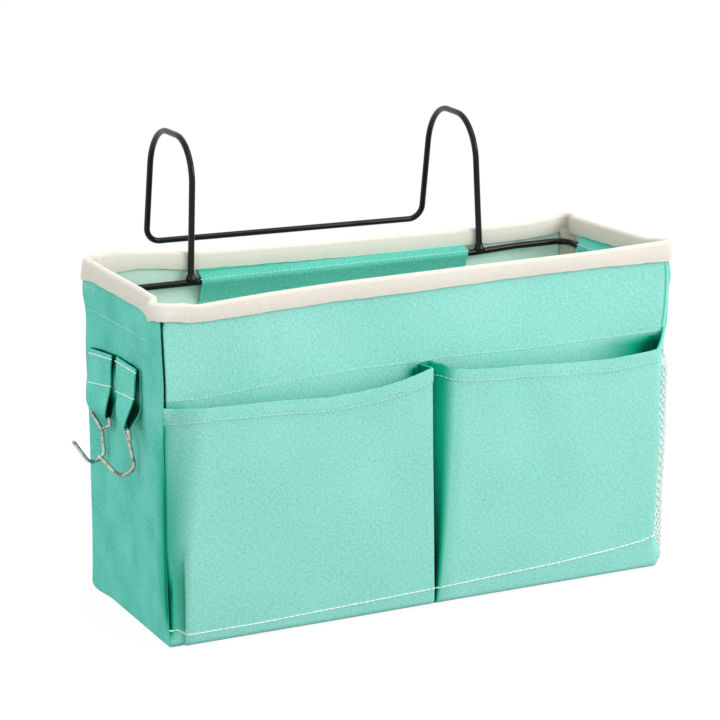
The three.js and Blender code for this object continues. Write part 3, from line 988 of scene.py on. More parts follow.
    def painted_shade(self, wall: Wall, share: Grid, z: Grid) -> Grid:
        """Painted shade on a wall: beside the corner seams, and behind the pocket's mouth, where shade falls.

        Args:
            wall: The wall.
            share: Shares of the wall's columns.
            z: Height.

        Returns:
            Amount of painted shade, from 0 to 1.
        """
        along = self.along_at(wall, share)
        under_tape = smooth(190, 186, z)
        if wall is Wall.LEFT:
            # Painted shade on the left wall beside its front corner seam, and on its end edge under the tape.
            shade = 0.6 * smooth(45, 59, along) ** 1.5 + 0.24 * smooth(55, 59, along)
            edge = smooth(2.8, 2.95, share) * under_tape
            return np.maximum(shade * smooth(140, 80, z) * smooth(4, 20, z), edge)
        if wall is not Wall.FRONT:
            return np.zeros(z.shape)
        # Painted shade in the front wall's corner grooves, and behind the pocket's mouth, deepest at its ends
        # and by the middle valley.
        bend = self.radius(wall.value, z) * (1 - self.seam_share[wall.value]) * math.pi / 2
        gap = bend * np.minimum(share, 1) + np.maximum(share - 1, 0) * 2 * self.half_width
        right_seam = 0.8 * bump(along, self.half_width - 1.2, 0.5) * smooth(144, 152, z)
        seams = smooth(1.9, 1.3, gap) * under_tape + right_seam * under_tape
        below = self.stitch_height(along)
        ends = 0.6 * bump(along, 159, 8) + 0.3 * smooth(112, 152, along) + 0.95 * bump(along, -8, 4.5)
        ends = ends + 0.35 * bump(along, -158, 8)
        mouth = np.clip(0.0016 * np.maximum(below - z, 0) ** 2, 0, 0.06) + ends
        mouth = mouth + 0.45 * smooth(92, 148, along) * smooth(0.5, 5.5, below - z)
        mouth = np.clip(mouth, 0, 0.9) * smooth(below + 0.6, below - 1.2 - 4 * ends, z)
        return np.clip(seams + mouth, 0, 1)

    def seam_relief(self, wall: Wall, start_gap: Grid, end_gap: Grid) -> Grid:
        """Grooves beside the corner seams.

        Args:
            wall: The wall.
            start_gap: Distance to the first seam.
            end_gap: Distance to the last seam.

        Returns:
            Distance out of the face, below zero in a groove.
        """
        start, end = np.exp(-((start_gap / 1.4) ** 2)), np.exp(-((end_gap / 1.4) ** 2))
        if wall is Wall.FRONT:
            return -2.4 * np.exp(-((start_gap / 1.3) ** 2)) - 0.9 * end
        if wall is Wall.LEFT:
            return -0.9 * start - 0.3 * end
        return -0.9 * start - 0.9 * end

    def plan(self, wall: Wall, share: Grid, z: Grid, sewn: bool = True) -> tuple[Grid, Grid, Grid, Grid]:
        """Plan position on a wall.

        Args:
            wall: The wall.
            share: 0 to 1 along the first corner, 1 to 2 along the straight, 2 to 3 along the last corner.
            z: Height.
            sewn: True where the corner seams draw the cloth in.

        Returns:
            Place along, place out, and the two parts of the outward direction.
        """
        half, far = self.half(wall), self.distance(wall)
        first, last = self.radius(wall.value, z), self.radius(wall.next.value, z)
        start_turn = (1 - self.seam_share[wall.value]) * math.pi / 2
        end_turn = self.seam_share[wall.next.value] * math.pi / 2
        last_turn = np.where(share > 2, (share - 2) * end_turn, 0.0)
        turn = np.where(share < 1, -(1 - share) * start_turn, last_turn)
        radius = np.where(share < 1, first, last)
        straight = first - half + np.clip(share - 1, 0, 1) * (2 * half - first - last)
        along = straight + np.where((share < 1) | (share > 2), radius * np.sin(turn), 0.0)
        out = far - radius + radius * np.cos(turn)
        start_gap = first * start_turn + straight + half - first
        start_gap = np.where(share < 1, share * start_turn * first, start_gap)
        end_gap = last * end_turn + half - last - straight
        end_gap = np.where(share > 2, (3 - share) * end_turn * last, end_gap)
        lift = self.relief(wall, along, z)
        if sewn:
            lift = lift + self.seam_relief(wall, start_gap, end_gap) * smooth(191, 186, z)
        spread = self.spread(z)
        if wall is Wall.FRONT:
            along = along - spread * smooth(12 - half, 3 - half, along)
        if wall is Wall.LEFT:
            out = out + spread * smooth(half - 26, half - 3, along)
        low = self.left_roll if wall is Wall.LEFT else self.low_roll
        roll = low
        for gap, corner in ((start_gap, wall), (end_gap, wall.next)):
            roll = roll + (self.corner_roll[corner.value] - low) * bump(gap, 0, 6)
        tuck = roll - np.sqrt(np.maximum(roll**2 - np.maximum(roll - z, 0) ** 2, 0))
        lift = lift * smooth(-2, 14, z) - tuck
        if wall is Wall.LEFT:
            lift = lift + (0.4 + 2.4 * smooth(-28, -52, along)) * smooth(14, -2, z)
        return along + lift * np.sin(turn), out + lift * np.cos(turn), np.sin(turn), np.cos(turn)

    def point(self, wall: Wall, share: Grid, z: Grid, extra: float | Grid = 0.0) -> Grid:
        """Points on a wall.

        Args:
            wall: The wall.
            share: Shares of the wall's columns.
            z: Height.
            extra: Distance out of the face.

        Returns:
            Points in space.
        """
        along, out, side, front = self.plan(wall, share, z)
        flat = (along + extra * side)[..., None] * wall.along
        flat = flat + (out + extra * front)[..., None] * wall.out
        flat[..., 0] -= self.lean(z) * smooth(120, 156, flat[..., 0])
        flat[..., 2] = z
        return flat

    def on_wall(self, wall: Wall, along: Grid, z: Grid, extra: float | Grid = 0.0) -> Grid:
        """Points on the straight stretch of a wall.

        Args:
            wall: The wall.
            along: Place along the wall.
            z: Height.
            extra: Distance out of the face.

        Returns:
            Points in space.
        """
        along, z = np.broadcast_arrays(np.asarray(along, float), np.asarray(z, float))
        first, last = self.radius(wall.value, z), self.radius(wall.next.value, z)
        half = self.half(wall)
        share = 1 + np.clip((along - first + half) / (2 * half - first - last), 0, 1)
        return self.point(wall, share, z, extra)

    def columns(self, wall: Wall) -> np.ndarray:
        """Columns of a wall's points, close together at the corners.

        Args:
            wall: The wall.

        Returns:
            Share of each column.
        """
        reach = self.fine / self.half(wall)
        near = reach * np.linspace(0, 1, 13)[:-1] ** 1.5
        even = np.linspace(reach - 1, 1 - reach, max(44, int(self.half(wall) / 1.8)))
        straight = np.concatenate([near - 1, even, 1 - near[::-1]])
        arc = np.linspace(0, 1, self.arc_steps, endpoint=False)
        return np.concatenate([arc, 1.5 + straight / 2, 3 - arc[::-1]])

    def wall_piece(self, wall: Wall, cloth: bpy.types.Material) -> None:
        """Builds and dresses one wall.

        Args:
            wall: The wall.
            cloth: Finish of its outer face.
        """
        share = self.columns(wall)
        top = self.rim(self.rim_top, wall, share) - self.tape_cloth
        foot = [0, 0.003, 0.007, 0.012, 0.019, 0.028, 0.04]
        level = np.concatenate([foot, np.linspace(0.06, 1, self.rows)])
        z = level[:, None] * top[None, :]
        wide = np.broadcast_to(share, z.shape)
        outer = self.point(wall, wide, z)
        inner = self.point(wall, wide, z, -self.cloth)
        node = wall.name.lower() + "_panel"
        # Painted shade on both faces of the wall.
        painted_shade = self.painted_shade(wall, wide, z)
        mesh = cloth_mesh(node + "_cloth", outer, inner, lined=True, folds=(painted_shade, painted_shade))
        piece = place_piece(new_object(mesh, cloth, self.finishes.reverse), [node])
        size = (2 * self.half(wall) * MM, self.height * MM)

    def bottom_piece(self) -> None:
        """Builds and dresses the bottom, inside the feet of the walls."""
        inset = self.cloth + 0.6
        ring = []
        for wall in Wall:
            share = self.columns(wall)[:-1]
            ring.append(self.point(wall, share, np.full(share.shape, self.low_roll), -inset)[:, :2])
        outline = np.concatenate(ring)
        count = len(outline)
        points = [(x * MM, y * MM, z * MM) for z in (0.0, self.cloth) for x, y in outline]
        faces = [tuple(reversed(range(count))), tuple(range(count, 2 * count))]
        faces += [(i, (i + 1) % count, count + (i + 1) % count, count + i) for i in range(count)]
        mesh = bpy.data.meshes.new("bottom_panel_cloth")
        mesh.from_pydata(points, [], faces)
        layer = mesh.uv_layers.new(name="UVMap")
        spots = np.array([points[i][:2] for face in faces for i in face], np.float32)
        layer.data.foreach_set("uv", spots.ravel())
        mesh.update()
        piece = place_piece(new_object(mesh, self.finishes.painted_shade_linen), ["bottom_panel"])

    def build(self) -> None:
        """Builds the walls and the bottom, and adds the sewn lines on the walls."""
        for wall in (Wall.FRONT, Wall.RIGHT, Wall.BACK):
            self.wall_piece(wall, self.finishes.linen)
        self.wall_piece(Wall.LEFT, self.finishes.painted_shade_linen)
        self.bottom_piece()
        front = np.linspace(-self.half_width + 3, self.half_width - 5, 120)
        left, right = np.linspace(-55.0, 34.0, 50), np.linspace(-34.0, 55.0, 50)
        back = np.linspace(-86, 90, 80)
        rows = (
            ("front_panel_stitches", Wall.FRONT, front, self.stitch_height(front)),
            ("side_panel_stitches", Wall.LEFT, left, 169.2 + 0.01 * left),
            ("side_panel_stitches", Wall.RIGHT, right, 169.2 + 0.01 * right),
            ("side_panel_stitches", Wall.LEFT, np.linspace(-55, -44, 8), 182.6),
            ("back_panel_stitches", Wall.BACK, back, 181.0),
            ("back_panel_stitches", Wall.BACK, back, 169.5),
        )
        for group, wall, along, z in rows:
            self.seams.add(group, self.on_wall(wall, along, z, self.stitch_lift))


@dataclass
class RimTape:
    """Cream tape folded over the top edge all the way round."""

    box: ClothBox
    finishes: Finishes
    cloth: float = 1.0
    outer_gap: float = 1.25
    inner_gap: float = 3.3

    def heights(self) -> tuple[Grid, Grid]:
        """Heights of the tape round the box.

        Returns:
            Heights of its top, and of its low edge.
        """
        rows = []
        for table, reach in ((self.box.rim_top, 2), (self.box.rim_low, 1)):
            walls = [self.box.rim(table, wall, self.box.columns(wall)[:-1]) for wall in Wall]
            rows.append(self.even(np.concatenate(walls), reach))
        return rows[0], rows[1]

    def path(self, z: Grid) -> tuple[Grid, Grid]:
        """The way round the box in plan.

        Args:
            z: Height of each point.

        Returns:
            Points, and the outward direction at each.
        """
        places, ways, start = [], [], 0
        for wall in Wall:
            share = self.box.columns(wall)[:-1]
            along, out, side, front = self.box.plan(wall, share, z[start : start + len(share)], False)
            places.append(along[:, None] * wall.along + out[:, None] * wall.out)
            ways.append(side[:, None] * wall.along + front[:, None] * wall.out)
            start += len(share)
        places, ways = np.concatenate(places), self.even(np.concatenate(ways), 2)
        places = places + 0.6 * (self.even(places, 2) - places)
        return places, ways / np.linalg.norm(ways, axis=1, keepdims=True)

    @staticmethod
    def even(values: np.ndarray, reach: int) -> np.ndarray:
        """Evens a closed row of values over a few neighbours."""
        return sum(np.roll(values, k, axis=0) for k in range(-reach, reach + 1)) / (2 * reach + 1)

    def profile(self, inset: float) -> tuple[np.ndarray, np.ndarray]:
        """Section of the folded tape from the outer edge over the top to the inner edge.

        Args:
            inset: Depth below the tape's outer face.

        Returns:
            Distance out of the wall's face, and share of the height from the low edge to the top.
        """
        out, inn = self.outer_gap - inset, self.inner_gap - inset
        centre, radius = (out - inn) / 2, (out + inn) / 2
        turn = np.linspace(0, math.pi, 9)
        rise = np.linspace(0, 0.8, 9)
        gap = np.concatenate([np.full(9, out), centre + radius * np.cos(turn), np.full(9, -inn)])
        crown = 0.83 + (0.17 - inset * 0.09) * np.sin(turn)
        return gap, np.concatenate([rise, crown, rise[::-1]])

    def build(self) -> None:
        """Builds and dresses the tape."""
        tops, lows = self.heights()
        spots = self.path(tops)[0]
        run = lengths_along(spots, True)[:-1]
        flutter = 0.12 * np.sin(run / 5.3) + 0.1 * np.sin(run / 2.1 + 1.0)
        grids = []
        for inset in (0.0, self.cloth):
            rows = []
            for gap, share in zip(*self.profile(inset)):
                low = smooth(0.7, 0.0, share)
                puff = 0.35 * math.sin(math.pi * min(share / 0.85, 1.0)) * math.copysign(1, gap)
                places, ways = self.path(lows + (tops - lows) * share)
                row = places + ways * (gap + puff + 0.3 * flutter * low)[:, None]
                row[:, 2] = lows + (tops - lows) * share + flutter * low
                rows.append(row)
            grids.append(np.array(rows))
        # Painted shade on the inner side of the tape, along the right wall and at the back right corner.
        counts = [len(self.box.columns(wall)) - 1 for wall in Wall]
        right = np.repeat([wall is Wall.RIGHT for wall in Wall], counts)
        inside = smooth(0.6, -1.2, self.profile(0.0)[0])
        corner = np.hypot(spots[:, 0] - self.box.half_width, spots[:, 1] - self.box.half_depth)
        shade = 0.4 * self.even(right.astype(float), 6) + 0.55 * bump(corner, 0, 8.0)
        painted_tape_shade = inside[:, None] * shade[None, :]
        mesh = cloth_mesh("rim_tape", grids[0], grids[1], closed=True, folds=(painted_tape_shade, painted_tape_shade))
        piece = place_piece(new_object(mesh, self.finishes.tape), ["rim_binding"])


@dataclass
class CornerTapes:
    """Cream strips over the seams in the four inside corners."""

    box: ClothBox
    finishes: Finishes
    width: float = 9.5
    flat_width: float = 10.0
    rows: int = 40
    cloth: float = 1.1
    stand: float = 4.2
    aside: tuple[float, ...] = (0.0, 0.0, 0.9, 0.0)

    def build(self) -> None:
        """Builds and dresses the strips."""
        for corner, name in enumerate(("front_left", "front_right", "back_right", "back_left")):
            low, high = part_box("corner_binding_" + name)
            z = np.linspace(low.z / MM, high.z / MM, self.rows)
            seam = self.box.point(Wall(corner), np.zeros(self.rows), z, -self.box.cloth)
            way = -(Wall(corner).out + Wall((corner - 1) % 4).out) / math.sqrt(2)
            across = np.cross(way, (0.0, 0.0, 1.0))
            side = np.linspace(-1, 1, 9)
            bow = self.stand - 1.6 * (1 - side**2)
            wave = 0.25 * np.sin(z / 9)[:, None]
            shift = side * self.width / 2 - self.aside[corner]
            grid = seam[:, None, :] + shift[None, :, None] * across
            grid = grid + (bow[None, :] + wave)[..., None] * way
            normal = grid_normals(grid)
            # Painted shade, even over the whole strip, as it lies in the inside corner.
            painted_tape_shade = np.full(grid.shape[:2], 0.5)
            outer, inner = grid + normal * 0.5, grid - normal * (self.cloth - 0.5)
            mesh = cloth_mesh("corner_tape_" + name, outer, inner, folds=(painted_tape_shade, painted_tape_shade))
            piece = place_piece(new_object(mesh, self.finishes.tape), ["corner_binding_" + name])


@dataclass
class FrontPocket:
    """One cloth that makes both front pockets: sewn in the corner seams, down the middle and at the foot.

    Tables give a place or an inset along the front wall at a share of the pocket's height, or a height or a
    depth at a place along the wall.
    """

    box: ClothBox
    finishes: Finishes
    seams: Seams
    cloth: float = 1.1
    length: float = 146.0
    foot: float = 0.8
    seam: float = 160.2
    stand_foot: float = 2.8
    stand_top: float = 13.0
    rows: int = 70
    pleat: float = 9.6
    left_turn: float = 19.0
    end_points: int = 18
    face_points: int = 48
    flank_points: int = 9
    bed_points: int = 3
    rise_points: int = 5
    turn_points: int = 11
    fold_points: int = 15
    valley_left: Table = ((0.0, 2.8), (0.08, 2.1), (0.36, -0.2), (0.66, -2.6), (1.0, -4.8))
    valley_floor: Table = ((0.0, 3.8), (0.36, 3.0), (1.0, 1.6))
    valley_right: Table = ((0.0, 5.4), (0.05, 6.8), (0.12, 7.6), (0.36, 9.4), (0.66, 10.6), (1.0, 11.0))
    right_fold: Table = ((0.0, 153.5), (0.12, 149.6), (0.3, 149.4), (0.57, 149.0), (1.0, 144.2))
    right_inset: Table = (
        (0.0, 4.2), (0.045, 1.4), (0.085, 3.6), (0.15, 6.6), (0.2, 7.4), (0.37, 7.0), (0.71, 5.8),
        (0.94, 4.4), (1.0, 3.4),
    )
    top_edge: Table = (
        (-160, 138.2), (-155, 138.6), (-149, 139.4), (-139, 139.0), (-110, 138.1), (-86, 137.1), (-67, 136.0),
        (-49, 136.9), (-37, 138.0), (-24, 140.3), (-11.5, 143.3), (-4.6, 145.7), (3.5, 146.4), (8.8, 143.9),
        (20, 141.9), (40, 140.3), (59, 139.7), (79, 138.3), (99, 137.5), (113, 137.2), (126.5, 138.0),
        (140, 138.9), (144.2, 139.7), (151, 145.0), (156.6, 149.6), (160, 150.5),
    )
    hem_depth: Table = (
        (-160, 8.2), (-150, 8.0), (-138, 6.7), (-105, 7.4), (-20, 8.0), (8, 6.4), (120, 6.8), (160, 6.6),
    )
    foot_stitch: Table = (
        (-160, 10.4), (-154, 10.0), (-152, 7.7), (-107, 7.8), (3, 10.9), (87, 14.3), (122, 16.9), (146, 19.4),
        (155, 21.8),
    )

    def stand(self, level: float) -> float:
        """How far the pockets stand out at a share of their height."""
        return self.stand_foot + (self.stand_top - self.stand_foot) * level**0.75

    def left_end(self, level: float) -> np.ndarray:
        """Turn at the left-hand corner: a knife pleat at the foot that opens to a soft turn.

        Args:
            level: Share of the pocket's height.

        Returns:
            Place along and stand-off of each point.
        """
        share = np.linspace(0, 1, self.end_points)
        stand = self.stand(level)
        run = self.pleat + (self.left_turn - self.pleat) * smooth(0.1, 1.0, level)
        soft = np.stack([run * share, stand * np.sin(share * math.pi / 2) ** 0.9], axis=1)
        flap = np.clip(share / 0.55, 0, 1)
        step = smooth(0.58, 0.84, share)
        tail = np.clip((share - 0.84) / 0.16, 0, 1)
        place = (self.pleat + 0.9) * flap - 1.1 * np.sin(step * math.pi / 2) + 1.6 * tail
        pleat = np.stack([place, 0.5 * np.sin(flap * math.pi) + (stand - 0.4) * step + 0.4 * tail], axis=1)
        weight = float(smooth(0.22, 0.46, level))
        line = pleat * (1 - weight) + soft * weight
        line[:, 0] -= self.seam + self.box.spread(level * self.box.stitch_height(-160.0)) * (1 - share)
        return line

    def middle(self, level: float) -> np.ndarray:
        """Valley between the pockets: a sharp fold on the left, and a rounded turn on the right.

        Args:
            level: Share of the pocket's height.

        Returns:
            Place along and stand-off of each point.
        """
        stand = self.stand(level)
        left = look_up(self.valley_left, level)
        floor = look_up(self.valley_floor, level)
        right = look_up(self.valley_right, level)
        drop = np.linspace(0, 1, self.flank_points)[:, None]
        back = left + 0.5 - 2.4 * smooth(0.8, 1.0, level)
        flank = np.array([left, stand]) * (1 - drop) + np.array([back, 0.0]) * drop
        bend = np.linspace(0, math.pi / 2, self.turn_points)
        curve = min(right - floor, stand)
        rise = np.linspace(0, stand - curve, self.rise_points + 1)[:-1]
        wall = np.stack([np.full(self.rise_points, floor), rise], axis=1)
        across = floor + (right - floor) * (1 - np.cos(bend))
        turn = np.stack([across, stand - curve * (1 - np.sin(bend))], axis=1)
        bed = np.linspace(back, floor, self.bed_points + 2)[1:-1]
        return np.concatenate([flank, np.stack([bed, np.zeros(self.bed_points)], axis=1), wall, turn])

    def right_end(self, level: float) -> np.ndarray:
        """Fold at the right-hand corner, and the gusset behind it.

        Args:
            level: Share of the pocket's height.

        Returns:
            Place along and stand-off of each point.
        """
        stand = self.stand(level)
        fold = look_up(self.right_fold, level)
        seam = self.seam - look_up(self.right_inset, level)
        share = np.linspace(0, 1, self.fold_points)
        return np.stack([fold + (seam - fold) * share, stand * (1 - share**1.25)], axis=1)

    def painted_shade(self, level: float) -> tuple[np.ndarray, np.ndarray]:
        """Painted shade on the outer and inner faces, along the section: in the left-hand turn, in the middle
        valley and inside the pocket.

        Args:
            level: Share of the pocket's height.

        Returns:
            Values for the outer and for the inner face.
        """
        share = np.linspace(0, 1, self.end_points)
        # Painted shade on the left-hand turn: the pleat's strip near the foot, a softer band higher up, and a
        # dark line at the corner seam.
        low = 0.3 + 0.7 * smooth(0.05, 0.08, level)
        strip = (0.52 + 0.1 * smooth(0.45, 0.6, share)) * smooth(0.8, 0.66, share)
        soft = 0.56 * smooth(1.0, 0.0, share) * (0.3 + 0.7 * smooth(1.0, 0.5, level))
        weight = smooth(0.22, 0.46, level)
        left = low * (strip * (1 - weight) + soft * weight)
        sharp_line = np.array([1.0, 0.96, 0.62 + 0.26 * bump(level, 0.24, 0.09), 0.5])
        sharp_line = sharp_line * smooth(0.0, 0.09, level)
        soft_line = np.array([1.0, 0.6, 0.3, 0.25])
        left[:4] = np.maximum(left[:4], sharp_line * (1 - weight) + soft_line * weight)
        left[:4] *= smooth(1.0, 0.9, level)
        # Painted shade in the middle valley, nearly black towards the foot.
        depth = 0.7 + 0.3 * smooth(0.85, 0.1, level)
        turn = smooth(1.2, 0.5, np.linspace(0, 1, self.turn_points))
        floor = np.full(self.bed_points + self.rise_points, depth)
        valley = np.concatenate([np.linspace(0, depth, self.flank_points), floor, depth * turn])
        right_face = np.zeros(self.face_points)
        right_face[:3] = 0.12, 0.05, 0.01
        outer = [left, np.zeros(self.face_points), valley, right_face, np.zeros(self.fold_points)]
        # Painted shade over the whole inner face, strongest in the valley and at the right-hand fold.
        inner = [np.full(len(part), depth) for part, depth in zip(outer, (0.5, 0.3, 0.86, 0.3, 0.78))]
        return np.concatenate(outer), np.concatenate(inner)

    def line(self, level: float) -> np.ndarray:
        """Section of the pocket cloth, from left to right.

        Args:
            level: Share of the pocket's height.

        Returns:
            Place along and stand-off of each point.
        """
        ends = (self.left_end(level), self.middle(level), self.right_end(level))
        faces = []
        for before, after in zip(ends, ends[1:]):
            share = np.linspace(0, 1, self.face_points + 2)[1:-1, None]
            face = before[-1] * (1 - share) + after[0] * share
            free = np.sin(math.pi * share[:, 0])
            ripple = 0.3 * level * np.sin(share[:, 0] * 17 + level * 6) * free
            face[:, 1] += -(0.9 * level * free) + ripple
            faces.append(face)
        return np.concatenate([ends[0], faces[0], ends[1], faces[1], ends[2]])

    @property
    def levels(self) -> np.ndarray:
        """Shares of the pocket's height of the rows of points, closer together at the foot."""
        return np.concatenate([np.linspace(0, 0.12, 16), np.linspace(0.12, 1, self.rows)[1:]])

    def grid(self, extra: float) -> Grid:
        """Points of the pocket cloth.

        Args:
            extra: Distance out of its inner face.

        Returns:
            Rows of points, from the foot up.
        """
        edge = look_up(self.top_edge, self.line(1.0)[:, 0])
        hem = look_up(self.hem_depth, self.line(1.0)[:, 0])
        place = self.line(0.0)[:, 0]
        foot = self.foot - 0.7 * smooth(-148, -154, place) + 0.4 * smooth(-60, 20, place)
        rows = []
        for level in self.levels:
            line = self.line(level)
            height = foot + (edge - foot) * level
            thick = extra + 0.5 * smooth(hem + 1.2, hem - 0.4, edge - height) * (extra > 0)
            place = line + section_normals(line) * np.broadcast_to(thick, height.shape)[:, None]
            tuck = 1.8 * (1 - np.minimum(height / 3.5, 1.0)) ** 2
            out = 0.35 + np.maximum(place[:, 1], 0.0) - tuck
            left = -self.seam - self.box.spread(height[0])
            x = np.clip(place[:, 0], left, self.seam - look_up(self.right_inset, level))
            rows.append(np.stack([x, -self.box.half_depth - out, height], axis=1))
        return np.array(rows)

    def build(self) -> None:
        """Builds and dresses the pocket cloth, and adds its sewn lines."""
        outer, inner = self.grid(self.cloth), self.grid(0.0)
        # Painted shade on both faces, row by row.
        painted_shade = np.array([self.painted_shade(level) for level in self.levels])
        mesh = cloth_mesh("pocket_cloth", outer, inner, folds=(painted_shade[:, 0], painted_shade[:, 1]))
        piece = place_piece(new_object(mesh, self.finishes.linen), ["front_pocket_cloth"])
        self.sew(outer)

    def sew(self, outer: Grid) -> None:
        """Adds the sewn lines of the hem and the foot.

        Args:
            outer: Points of the cloth's outer face.
        """
        lifted = outer + grid_normals(outer) * 0.1
        hem_line, foot_line = [], []
        for strip in lifted[:, 1:-1].transpose(1, 0, 2):
            hem = strip[-1, 2] - look_up(self.hem_depth, strip[-1, 0])
            low = look_up(self.foot_stitch, strip[0, 0])
            for z, line in ((hem, hem_line), (low, foot_line)):
                line.append(at_height(strip, z))
        self.seams.add("pocket_hem_stitches", np.array(hem_line))
        self.seams.add("pocket_foot_stitches", np.array(foot_line), BOLD)


@dataclass
class MeshPocket:
    """Net pocket on the right side, with an elastic band along its top."""

    box: ClothBox
    finishes: Finishes
    seams: Seams
    top: float = 130.0
    hem: float = 5.0
    bulge: float = 10.0
    foot_bulge: float = 2.0
    margin: float = 4.6
    front_lap: float = 2.2
    front_free: float = 1.5
    tucked: float = 3.6
    cell: float = 3.1
    yarn: float = 0.6
    cover: float = 0.65
    edge_foot: float = 36.0
    edge_width: float = 6.8
    band: float = 8.5
    band_cloth: float = 0.7
    band_fold: float = 1.3

    @property
    def half(self) -> float:
        """Half length of the pocket between the corner seams."""
        return self.box.half_depth + 0.9

    @property
    def reach(self) -> float:
        """Half width of the net, with the margins that go into the corner seams."""
        return self.half + self.margin

    def place(self, along: Grid, z: Grid, extra: float | Grid = 0.0) -> Grid:
        """Points on the net, which turns in to the seam at both corners.

        Args:
            along: Place along the net, from its middle.
            z: Height.
            extra: Distance out of the net.

        Returns:
            Points in space.
        """
        along, z = np.broadcast_arrays(np.asarray(along, float), np.asarray(z, float))
        level = np.clip((z - self.hem) / (self.top - self.hem), 0, 1)
        side = np.clip(along, -self.half, self.half)
        full = self.foot_bulge + (self.bulge - self.foot_bulge) * level
        belly = 0.4 - smooth(80, 40, z) + full * (1 - np.abs(side / self.half) ** 2.2)
        seam = self.box.lean(z) + np.where(along < 0, self.front_lap * (1 - 0.6 * level), 0.0)
        turned = np.clip((np.abs(along) - self.half) / self.margin, 0, 1)
        return np.stack([self.box.half_width + belly - (seam + 0.4) * turned + extra, side, z], axis=-1)

    def tuck_in(self, points: Grid) -> Grid:
        """Draws the front end of the band's points in, to the corner."""
        points[..., 0] -= self.tucked * smooth(15 - self.half, -self.half, points[..., 1])
        return points

    def net_piece(self) -> None:
        """Builds the net on a lattice of six-sided cells."""
        rise = self.cell * 0.86
        columns = int(2 * self.reach / self.cell)
        rows = int((self.top - self.hem) / rise)
        points, edges, index = [], [], {}

        def knot(i: int, j: int, upper: bool) -> int:
            """Finds or adds one of the two knots of a cell.

            Args:
                i: Column of the cell.
                j: Row of the cell.
                upper: True for its upper knot.

            Returns:
                The knot's number.
            """
            key = (i, j, upper)
            if key not in index:
                along = (i + (0.5 if j % 2 else 0.0)) * self.cell - self.reach
                z = self.hem + j * rise + (rise * 0.34 if upper else 0.0)
                index[key] = len(points)
                points.append(self.place(min(along, self.reach), min(z, self.top + 1)) * MM)
            return index[key]

        for j in range(rows):
            for i in range(columns):
                edges.append((knot(i, j, False), knot(i, j, True)))
                left = i - 1 if j % 2 == 0 else i
                for side in (left, left + 1):
                    if 0 <= side < columns and j + 1 < rows:
                        edges.append((knot(i, j, True), knot(side, j + 1, False)))
        mesh = bpy.data.meshes.new("pocket_net")
        mesh.from_pydata([tuple(p) for p in points], edges, [])
        lattice = new_object(mesh)
        piece = NetRecipe().apply(lattice, Yarn=self.yarn * MM, Material=self.finishes.net)
        place_piece(piece, ["mesh_pocket_net"])
        wide, long = 2 * self.reach * MM, (self.top - self.hem) * MM

    def edge_piece(self) -> None:
        """Builds the net's dense woven edge, behind the net in the front corner seam."""
        z = np.linspace(self.edge_foot, self.top, 60)
        start, full = 0.3 - self.reach, self.margin + self.edge_width - 0.3
        wide = full * (0.3 + 0.7 * smooth(self.edge_foot - 12, self.edge_foot + 45, z))
        spots = start + wide[:, None] * np.linspace(0, 1, 24)
        heights = np.broadcast_to(z[:, None], spots.shape)
        outer = self.place(spots, heights, -0.75)
        inner = self.place(spots, heights, -1.25)
        for face, inset in ((outer, 0.55), (inner, 1.05)):
            face[..., 1] += inset * smooth(0.5 - self.half, -0.5 - self.half, spots)
        mesh = cloth_mesh("pocket_net_edge", outer, inner)
        piece = place_piece(new_object(mesh, self.finishes.net))

    def band_piece(self) -> None:
        """Builds the gathered elastic, folded over the net's top edge."""
        along = np.linspace(-self.half + self.front_free, self.half - self.band_fold, 160)
        rise = np.linspace(-1.0, self.band - self.band_fold, 9)
        turn = np.linspace(0, math.pi, 7)
        grids = []
        for inset in (0.0, self.band_cloth):
            fold = self.band_fold - inset
            over = np.stack([fold * np.cos(turn), rise[-1] + fold * np.sin(turn)], axis=1)
            front = np.stack([np.full(9, fold), rise], axis=1)
            behind = np.stack([np.full(9, -fold), rise[::-1]], axis=1)
            line = np.concatenate([front, over[1:-1], behind])
            free = np.sin(math.pi * (line[:, 1:] + 1) / (self.band + 1))
            gather = 0.3 * np.sin(along * math.tau / 3.4)[None, :] * free
            wide = np.broadcast_to(along, gather.shape)
            grid = self.place(wide, np.full(wide.shape, self.top), line[:, :1] + gather)
            grid[..., 2] += line[:, 1:]
            grids.append(self.tuck_in(grid))
        mesh = cloth_mesh("pocket_elastic", grids[0], grids[1])
        piece = place_piece(new_object(mesh, self.finishes.tape), ["mesh_pocket_elastic"])
        size = (2.1 * self.half * MM, 2 * self.band * MM)
        sewn = self.place(along, np.full(along.shape, self.top), self.band_fold + 0.3)
        sewn[:, 2] += 1.5
        self.seams.add("mesh_pocket_stitches", self.tuck_in(sewn))

    def build(self) -> None:
        """Builds the net, its woven edge and its band."""
        self.net_piece()
        self.edge_piece()
        self.band_piece()


@dataclass(frozen=True)
class Arch:
    """Places of one arch across the caddy at its foot, top and rear end, and its rear's rise over the bar."""

    foot: float
    top: float
    rear: float
    rise: float


